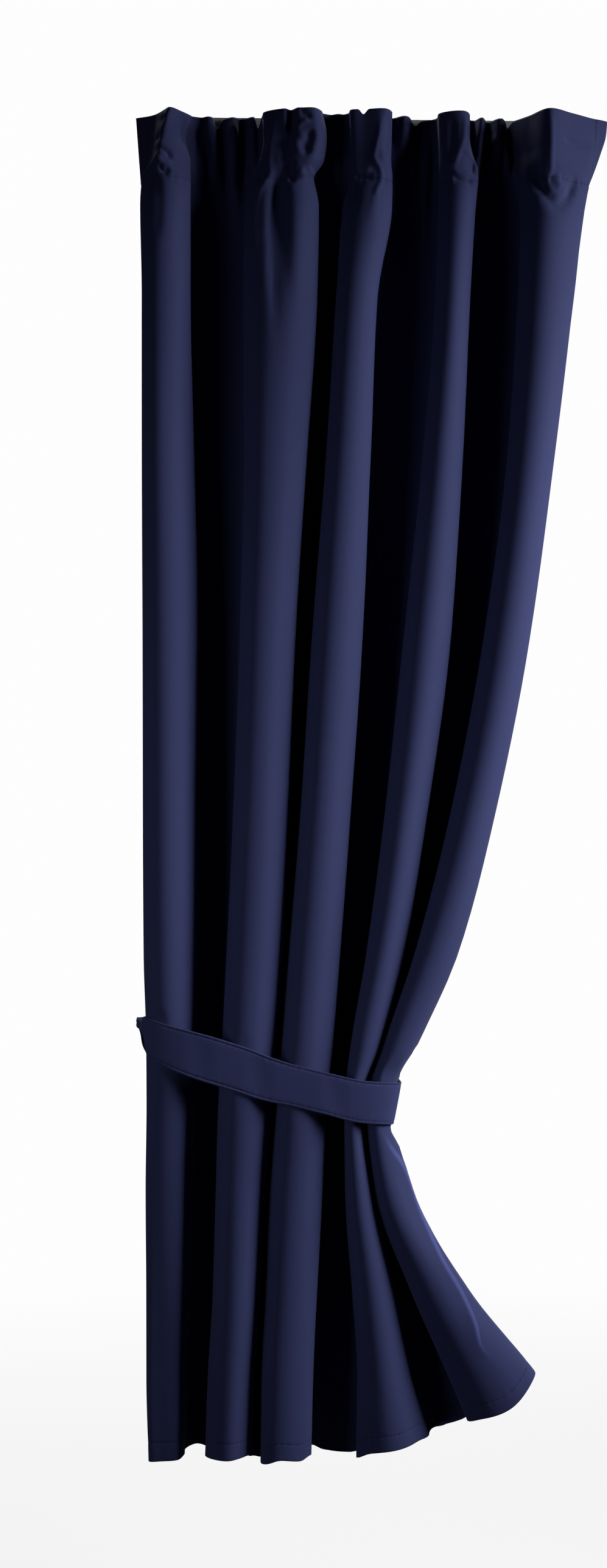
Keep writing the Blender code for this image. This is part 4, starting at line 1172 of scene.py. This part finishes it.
# Noise scales across, down and out of the cloth, or one for all three ways.
NAP_SCALES, STREAK_SCALES, MOTTLE_SCALE = (7.0, 2.0, 1.0), (46.0, 5.0, 1.0), 95.0
TUFT_SHADE = 0.25               # how far single tufts change the pile's shade


def pile_group():
    """Velvet pile: broad nap and brushed streaks as Shade, single tufts as Height."""
    sockets = (
        ("Cloth", "Vector", None), ("Nap", "Float", 0.1), ("Streaks", "Float", 0.06),
        ("Tufts", "Float", 1100.0),
    )
    tree, given, out = new_group("velvet pile", sockets, ("Shade", "Height"))
    cloth = given["Cloth"]
    broad = noise(tree, stretched(tree, cloth, NAP_SCALES), 1.0, 3.0)
    fine = noise(tree, stretched(tree, cloth, STREAK_SCALES), 1.0, 3.0, 0.6)
    mottle = noise(tree, cloth, MOTTLE_SCALE, 3.0, 0.6)
    tufts = noise(tree, cloth, given["Tufts"], 2.0, 0.7)
    shade = maths(tree, "MULTIPLY_ADD", swing(tree, broad), given["Nap"], 1.0)
    streaks = maths(tree, "ADD", swing(tree, fine), swing(tree, mottle))
    shade = maths(tree, "MULTIPLY_ADD", streaks, given["Streaks"], shade)
    shade = maths(tree, "MULTIPLY_ADD", swing(tree, tufts), TUFT_SHADE, shade)
    tree.links.new(shade, out["Shade"])
    tree.links.new(tufts, out["Height"])
    return tree


# A sewn line's puckers: their scale along it, how much of that they change across it, and how
# much they and the thread's groove change its shade and height. The shade is painted light
# and shade: lighter where the puckers stand up, darker in the groove.
PUCKER_SCALE, PUCKER_ACROSS = 210.0, 0.25
PUCKER_PAINTED_LIGHT, PUCKER_HEIGHT = 0.5, 1.6
GROOVE_PAINTED_SHADE, GROOVE_HEIGHT = -0.2, -0.6
GROOVE_FLOOR = 0.2              # share of the groove's half width that is flat


def seam_group():
    """A sewn line: the groove of the thread and the puckers across it, with painted shade in the
    groove and painted light and shade on the puckers.
    """
    sockets = (
        ("Away", "Float", 0.0), ("Along", "Float", 0.0), ("Groove", "Float", 0.0022),
        ("Reach", "Float", 0.011),
    )
    tree, given, out = new_group("sewn line", sockets, ("Shade", "Height"))
    away = maths(tree, "ABSOLUTE", given["Away"])
    groove = ranged(tree, maths(tree, "DIVIDE", away, given["Groove"]), GROOVE_FLOOR, 1.0, 1.0, 0.0)
    near = ranged(tree, maths(tree, "DIVIDE", away, given["Reach"]), 0.0, 1.0, 1.0, 0.0)
    across = maths(tree, "MULTIPLY", away, PUCKER_ACROSS)
    line = add(tree, "ShaderNodeCombineXYZ", {"X": given["Along"], "Y": across}).outputs[0]
    pucker = maths(tree, "MULTIPLY", swing(tree, noise(tree, line, PUCKER_SCALE, 1.0)), near)
    # Painted light and shade: the puckers are lighter where they stand up, and the groove is
    # darker.
    for name, pucker_share, groove_share, start in (
        ("Shade", PUCKER_PAINTED_LIGHT, GROOVE_PAINTED_SHADE, 1.0), ("Height", PUCKER_HEIGHT, GROOVE_HEIGHT, 0.0)
    ):
        total = maths(tree, "MULTIPLY_ADD", groove, groove_share, start)
        total = maths(tree, "MULTIPLY_ADD", pucker, pucker_share, total)
        tree.links.new(total, out[name])
    return tree


SLUB_SCALES = (60.0, 500.0, 1.0)
OVER_PAINTED_HIGHLIGHT = 0.12               # painted highlight: how much lighter a thread is where it goes over another


def weave_group():
    """Plain weave: threads going over and under, with slubs, as Shade and Height; the shade has a
    painted highlight where a thread goes over another.
    """
    sockets = (("Cloth", "Vector", None), ("Threads", "Float", 1400.0), ("Slubs", "Float", 0.25))
    tree, given, out = new_group("plain weave", sockets, ("Shade", "Height"))
    parts = add(tree, "ShaderNodeSeparateXYZ", {0: given["Cloth"]})
    waves = []
    for axis in ("X", "Y"):
        turns = maths(tree, "MULTIPLY", parts.outputs[axis], given["Threads"])
        waves.append(maths(tree, "SINE", maths(tree, "MULTIPLY", turns, math.pi)))
    over = maths(tree, "MULTIPLY", *waves)
    slubs = noise(tree, stretched(tree, given["Cloth"], SLUB_SCALES), 1.0, 2.0)
    # Painted highlight on the threads where they go over.
    shade = maths(tree, "MULTIPLY_ADD", over, OVER_PAINTED_HIGHLIGHT, 1.0)
    shade = maths(tree, "MULTIPLY_ADD", swing(tree, slubs), given["Slubs"], shade)
    tree.links.new(shade, out["Shade"])
    tree.links.new(maths(tree, "ADD", over, slubs), out["Height"])
    return tree


def new_material(name, colour, **sockets):
    """A material with constant values on its shader: itself, its tree and its shader."""
    made = bpy.data.materials.new(name)
    made.use_nodes = True
    tree = made.node_tree
    shader = tree.nodes["Principled BSDF"]
    shader.inputs["Base Color"].default_value = (*colour, 1)
    for socket, value in sockets.items():
        shader.inputs[socket.replace("_", " ")].default_value = value
    return made, tree, shader


def cloth_place(tree):
    """The place on the flat cloth, in metres."""
    return add(tree, "ShaderNodeUVMap", uv_map="cloth").outputs[0]


LEAST_SHADE = 0.5               # the shade at which a colour is its dark tone
MIX_SHARE, MIX_FIRST, MIX_SECOND, MIX_RESULT = 0, 6, 7, 2   # a mix node's sockets for colours


def coloured(tree, shader, dark, light, shade, most=1.5):
    """The shader's colour: the dark tone at the least shade, the light one at the most."""
    share = ranged(tree, shade, LEAST_SHADE, most, kind="LINEAR")
    into = {MIX_SHARE: share, MIX_FIRST: (*dark, 1), MIX_SECOND: (*light, 1)}
    mix = add(tree, "ShaderNodeMix", into, data_type="RGBA")
    tree.links.new(mix.outputs[MIX_RESULT], shader.inputs["Base Color"])


def raised(tree, shader, height, distance, strength=1.0):
    """Turns the shader's surface by a height, in metres where the height is 1."""
    into = {"Height": height, "Distance": distance, "Strength": strength}
    tree.links.new(add(tree, "ShaderNodeBump", into).outputs["Normal"], shader.inputs["Normal"])


def tone(colour, share):
    """A colour made darker or lighter."""
    return tuple(part * share for part in colour)


VELVET = {"Specular_IOR_Level": 0.2, "Sheen_Weight": 0.25, "Sheen_Roughness": 0.35,
          "Sheen_Tint": (0.75, 0.78, 1.0, 1)}
NAVY = (0.0295, 0.0365, 0.118)
# The band's navy: the panel's velvet painted a little lighter, to show the band brighter in the
# light.
BAND_NAVY_PAINTED_LIGHTER = (0.033, 0.0405, 0.131)
VELVET_DARK, VELVET_LIGHT = 0.5, 2.5    # the pile's tones, as shares of its colour; the light one is set this high for the painted highlight along the long crease
# From one shade to another, and the roughness at each; for the rail, from one noise to another.
VELVET_ROUGH, RAIL_ROUGH = (0.7, 1.3, 0.86, 0.74), (0.3, 0.7, 0.52, 0.38)
REVERSE, REVERSE_DARK, REVERSE_LIGHT = 0.9, 0.5, 1.3    # the reverse's, as shares of the navy
PILE_HEIGHT, WEAVE_HEIGHT, TWIST_HEIGHT, PEEL_HEIGHT = 0.0006, 0.0002, 0.0001, 0.0001
TUFT_HEIGHT = 0.5               # share of the pile's height that single tufts stand up
TOP_PAINTED_SHADE_SPAN = (-0.26, -0.04)        # up the cloth, where the painted shade at the top begins and where it is full
TOP_PAINTED_SHADE = 0.12           # how much darker that painted shade makes the heading, standing in for the lamp's light falling off there
CREASE_PAINTED_HIGHLIGHT = 1.2            # painted highlight along the long crease, standing in for the sheen on its ridge
NAVY_THREAD = (0.05, 0.058, 0.17)
THREAD_DARK, THREAD_LIGHT = (0.03, 0.035, 0.105), (0.07, 0.08, 0.22)
TWIST = {"Scale": 700.0, "Distortion": 1.5}
TWIST_PAINTED_LIGHT, TWIST_LEAST = 0.6, 0.7     # painted light and shade on its turns: how much lighter they are, from this shade up
RAIL_GREY = (0.42, 0.40, 0.37)
RAIL_DARK, RAIL_LIGHT = (0.20, 0.19, 0.175), (0.64, 0.61, 0.57)
RAIL_WEAR = (0.0012, 0.0002)    # in from its edges, where the paint is first and fully rubbed
CORNER_WEAR = (1.1, 1.9)        # it is rubbed only where two edges meet
WEAR_SCALE, WEAR_PATCHES = 45.0, (0.42, 0.62)
CLOUD_SCALES, PEEL_SCALE = (6.0, 60.0, 60.0), 900.0
CLOUD_SHADE, WEAR_SHADE = 0.3, 0.35


def velvet_material(name, colour, groups, seams, crease=False):
    """Velvet with its pile and its sewn lines; on the panel, painted shade at its top and a painted
    highlight along the long crease, which is also raised a little.
    """
    made, tree, shader = new_material(name, colour, **VELVET)
    cloth = cloth_place(tree)
    pile = add(tree, "ShaderNodeGroup", {"Cloth": cloth}, node_tree=groups["pile"])
    shade = pile.outputs["Shade"]
    height = maths(tree, "MULTIPLY", pile.outputs["Height"], TUFT_HEIGHT)
    parts = add(tree, "ShaderNodeSeparateXYZ", {0: cloth})
    for axis, along, place in seams:
        away = maths(tree, "SUBTRACT", parts.outputs[axis], place)
        into = {"Away": away, "Along": parts.outputs[along]}
        seam = add(tree, "ShaderNodeGroup", into, node_tree=groups["seam"])
        shade = maths(tree, "MULTIPLY", shade, seam.outputs["Shade"])
        height = maths(tree, "ADD", height, seam.outputs["Height"])
    if crease:
        # Painted shade: the top of the panel is made darker, standing in for the lamp's light
        # falling off there.
        painted_top_shade = ranged(tree, parts.outputs["Y"], *TOP_PAINTED_SHADE_SPAN, 0.0, TOP_PAINTED_SHADE)
        shade = maths(tree, "SUBTRACT", shade, painted_top_shade)
        # Painted highlight: a light line along the long crease, standing in for the sheen on its
        # ridge.
        away, near = (
            add(tree, "ShaderNodeAttribute", attribute_name=mark).outputs["Fac"]
            for mark in ("crease_away", "crease_painted_highlight")
        )
        line = ranged(tree, maths(tree, "ABSOLUTE", away), 0.0, CREASE_LINE_CM, 1.0, 0.0)
        line = maths(tree, "MULTIPLY", line, near)
        shade = maths(tree, "MULTIPLY_ADD", line, CREASE_PAINTED_HIGHLIGHT, shade)
        height = maths(tree, "ADD", height, line)
    dark, light = (tone(colour, share) for share in (VELVET_DARK, VELVET_LIGHT))
    coloured(tree, shader, dark, light, shade, VELVET_LIGHT)
    tree.links.new(ranged(tree, shade, *VELVET_ROUGH), shader.inputs["Roughness"])
    raised(tree, shader, height, PILE_HEIGHT, strength=0.8)
    return made


def reverse_material(groups):
    """The panel's woven reverse, a duller navy than its pile."""
    made, tree, shader = new_material(
        "woven reverse", tone(NAVY, REVERSE), Roughness=0.9, Specular_IOR_Level=0.05,
        Sheen_Weight=0.12, Sheen_Roughness=0.4, Sheen_Tint=(0.6, 0.65, 1.0, 1))
    into = {"Cloth": cloth_place(tree)}
    weave = add(tree, "ShaderNodeGroup", into, node_tree=groups["weave"])
    dark, light = (tone(NAVY, share) for share in (REVERSE_DARK, REVERSE_LIGHT))
    coloured(tree, shader, dark, light, weave.outputs["Shade"])
    raised(tree, shader, weave.outputs["Height"], WEAVE_HEIGHT, strength=0.7)
    return made


def thread_material():
    """Sewing thread: satin, with its twist, and painted light and shade along the twist's turns."""
    made, tree, shader = new_material(
        "navy thread", NAVY_THREAD, Roughness=0.5, Specular_IOR_Level=0.4)
    place = add(tree, "ShaderNodeTexCoord").outputs["Object"]
    twist = add(tree, "ShaderNodeTexWave", {"Vector": place, **TWIST}).outputs["Fac"]
    # Painted light and shade along the thread's twist.
    shade = maths(tree, "MULTIPLY_ADD", twist, TWIST_PAINTED_LIGHT, TWIST_LEAST)
    coloured(tree, shader, THREAD_DARK, THREAD_LIGHT, shade)
    raised(tree, shader, twist, TWIST_HEIGHT, strength=0.6)
    return made


def rail_material():
    """Warm grey paint with a fine orange peel, rubbed a little lighter along its edges."""
    made, tree, shader = new_material("warm grey paint", RAIL_GREY, Roughness=0.45)
    place = add(tree, "ShaderNodeTexCoord").outputs["Object"]
    cloudy = noise(tree, stretched(tree, place, CLOUD_SCALES), 1.0, 3.0)
    peel = noise(tree, place, PEEL_SCALE, 2.0)
    parts = add(tree, "ShaderNodeSeparateXYZ", {0: place})
    edge = 0.0
    half, height = RAIL_DEPTH_CM / 2 * CM, RAIL_HEIGHT_CM / 2 * CM
    reaches = (("Y", 0.0, half), ("Z", -height, height), ("X", 0.0, RAIL_LENGTH_CM / 2 * CM))
    for axis, middle, reach in reaches:
        away = maths(tree, "ABSOLUTE", maths(tree, "SUBTRACT", parts.outputs[axis], middle))
        near = ranged(tree, away, *(reach - inward for inward in RAIL_WEAR))
        edge = maths(tree, "ADD", edge, near)
    corner = ranged(tree, edge, *CORNER_WEAR)
    patches = ranged(tree, noise(tree, place, WEAR_SCALE, 4.0), *WEAR_PATCHES)
    worn = maths(tree, "MULTIPLY", corner, patches)
    shade = maths(tree, "MULTIPLY_ADD", swing(tree, cloudy), CLOUD_SHADE, 1.0)
    shade = maths(tree, "MULTIPLY_ADD", worn, WEAR_SHADE, shade)
    coloured(tree, shader, RAIL_DARK, RAIL_LIGHT, shade)
    tree.links.new(ranged(tree, cloudy, *RAIL_ROUGH), shader.inputs["Roughness"])
    raised(tree, shader, peel, PEEL_HEIGHT, strength=0.25)
    return made


# ---------------------------------------------------------------- studio

VIEW_HEIGHT = 2576              # the view's height in pixels
VIEW_PIXELS = 4000.0            # and its focal length
SENSOR = 36.0
VIEW_TURN = math.radians(2.3)   # to the right of straight ahead
VIEW_PLACE = (-0.3013, -4.3915, -1.198)
VIEW_END = 60                   # nothing further away is seen
FLOOR_DROP = 2.75


def make_camera():
    """The camera: upright and level, a little to the left of the cloth's middle."""
    data = bpy.data.cameras.new("studio camera")
    data.sensor_width = SENSOR
    data.lens = VIEW_PIXELS / VIEW_HEIGHT * SENSOR
    data.clip_end = VIEW_END
    camera = shown("studio camera", data)
    camera.location = VIEW_PLACE
    camera.rotation_euler = (math.pi / 2, 0, -VIEW_TURN)
    bpy.context.scene.camera = camera


# Soft lights round the object: bearing from the viewer's side towards the right, distance
# from the middle of the cloth, height, the height it points at, size across and up, the
# angle its light spreads over, and power.
Lamp = namedtuple("Lamp", "name bearing distance height aim width tall spread watts")
LAMPS = (
    Lamp("key", 72, 2.6, -0.35, -1.6, 1.3, 1.8, 95, 36),
    Lamp("fill", -52, 2.6, -1.3, -1.6, 1.0, 1.6, 85, 2.7),
    Lamp("back", 180, 3.0, -0.6, -1.2, 2.4, 1.6, 180, 60),
    Lamp("top", 180, 0.9, 1.6, -0.2, 1.2, 0.6, 90, 9),
)
LAMPS_MIDDLE = (-0.06, 0.0)
WHITE = (0.985, 0.985, 0.985, 1)        # of the room behind
DIM_BLUE, DIM = (0.8, 0.88, 1.0, 1), 0.008      # the room's own light on the cloth
PALE = (0.8, 0.8, 0.8)                  # of the floor
FLOOR_GLOW = (0.04, 0.04, 0.04, 1)      # what it throws back at the cloth
FLOOR_HALF = 40.0               # half its side
# How far from its middle the floor begins and ends to go over into white, and how white it
# is to begin with.
FLOOR_NEAR, FLOOR_FAR, FLOOR_WHITE = 0.4, 3.5, 0.72


def make_lamp(lamp):
    """A soft lamp, turned to the cloth."""
    data = bpy.data.lights.new(lamp.name, "AREA")
    data.shape = "RECTANGLE"
    data.size, data.size_y = lamp.width, lamp.tall
    data.spread = math.radians(lamp.spread)
    data.energy = lamp.watts
    light = shown(lamp.name, data)
    turn = math.radians(lamp.bearing)
    across, out = lamp.distance * math.sin(turn), lamp.distance * math.cos(turn)
    light.location = (LAMPS_MIDDLE[0] + across, LAMPS_MIDDLE[1] - out, lamp.height)
    tilt = math.atan2(lamp.aim - lamp.height, lamp.distance)
    light.rotation_euler = (math.pi / 2 + tilt, 0, turn)


def make_room():
    """A room that the camera sees as white, and that lights the cloth only a little."""
    world = bpy.data.worlds.new("studio")
    bpy.context.scene.world = world
    world.use_nodes = True
    tree = world.node_tree
    tree.nodes.clear()
    dim = add(tree, "ShaderNodeBackground", {"Color": DIM_BLUE, "Strength": DIM}).outputs[0]
    white = add(tree, "ShaderNodeBackground", {"Color": WHITE}).outputs[0]
    add(tree, "ShaderNodeOutputWorld", {"Surface": by_sight(tree, dim, white)})


def make_floor():
    """A pale floor that goes over into the white of the room."""
    build = bmesh.new()
    bmesh.ops.create_grid(build, x_segments=1, y_segments=1, size=FLOOR_HALF)
    mesh = built_mesh("floor", build)
    ground = shown("floor", mesh)
    ground.location = (0, 0, -FLOOR_DROP)
    pale, tree, shader = new_material("pale floor", PALE, Roughness=0.9, Specular_IOR_Level=0.1)
    place = add(tree, "ShaderNodeTexCoord").outputs["Object"]
    far = add(tree, "ShaderNodeVectorMath", {0: place}, operation="LENGTH").outputs["Value"]
    share = ranged(tree, far, FLOOR_NEAR, FLOOR_FAR, FLOOR_WHITE, 1.0)
    white = add(tree, "ShaderNodeEmission", {"Color": WHITE}).outputs["Emission"]
    dark = add(tree, "ShaderNodeBsdfDiffuse", {"Color": FLOOR_GLOW}).outputs["BSDF"]
    surface = by_sight(tree, dark, mixed(tree, share, shader.outputs["BSDF"], white))
    tree.links.new(surface, tree.nodes["Material Output"].inputs["Surface"])
    mesh.materials.append(pale)


def make_studio():
    """The room, the floor and the lamps."""
    bpy.context.scene.view_settings.view_transform = "Standard"
    make_room()
    make_floor()
    for lamp in LAMPS:
        make_lamp(lamp)


make_camera()
make_studio()
drape, fine, plain, lengths, places = make_drape()
band, outer, inner = make_band()
rail = make_rail()

groups = {"pile": pile_group(), "seam": seam_group(), "weave": weave_group()}
hem, side = HEM_CM - DROP_CM, PANEL_CM - SIDE_HEM_CM
drape_seams = (
    ("Y", "X", -HEADING_LINE_CM * CM), ("Y", "X", hem * CM),
    ("X", "Y", SIDE_HEM_CM * CM), ("X", "Y", side * CM),
)
edge = (TIE_WIDTH_CM / 2 - BAND_STITCH_CM) * CM
band_seams = (("Y", "X", edge), ("Y", "X", -edge))
thread = thread_material()
for made, materials in (
    (drape, [velvet_material("navy velvet", NAVY, groups, drape_seams, crease=True),
             reverse_material(groups)]),
    (band, [velvet_material("navy velvet band", BAND_NAVY_PAINTED_LIGHTER, groups, band_seams)]),
    (rail, [rail_material()]),
):
    for material in materials:
        made.data.materials.append(material)
for name, lines in drape_lines(fine, plain, lengths, places).items():
    make_stitches(name, lines).data.materials.append(thread)
stitches = make_stitches("band stitches", band_lines(outer, inner))
stitches.data.materials.append(thread)
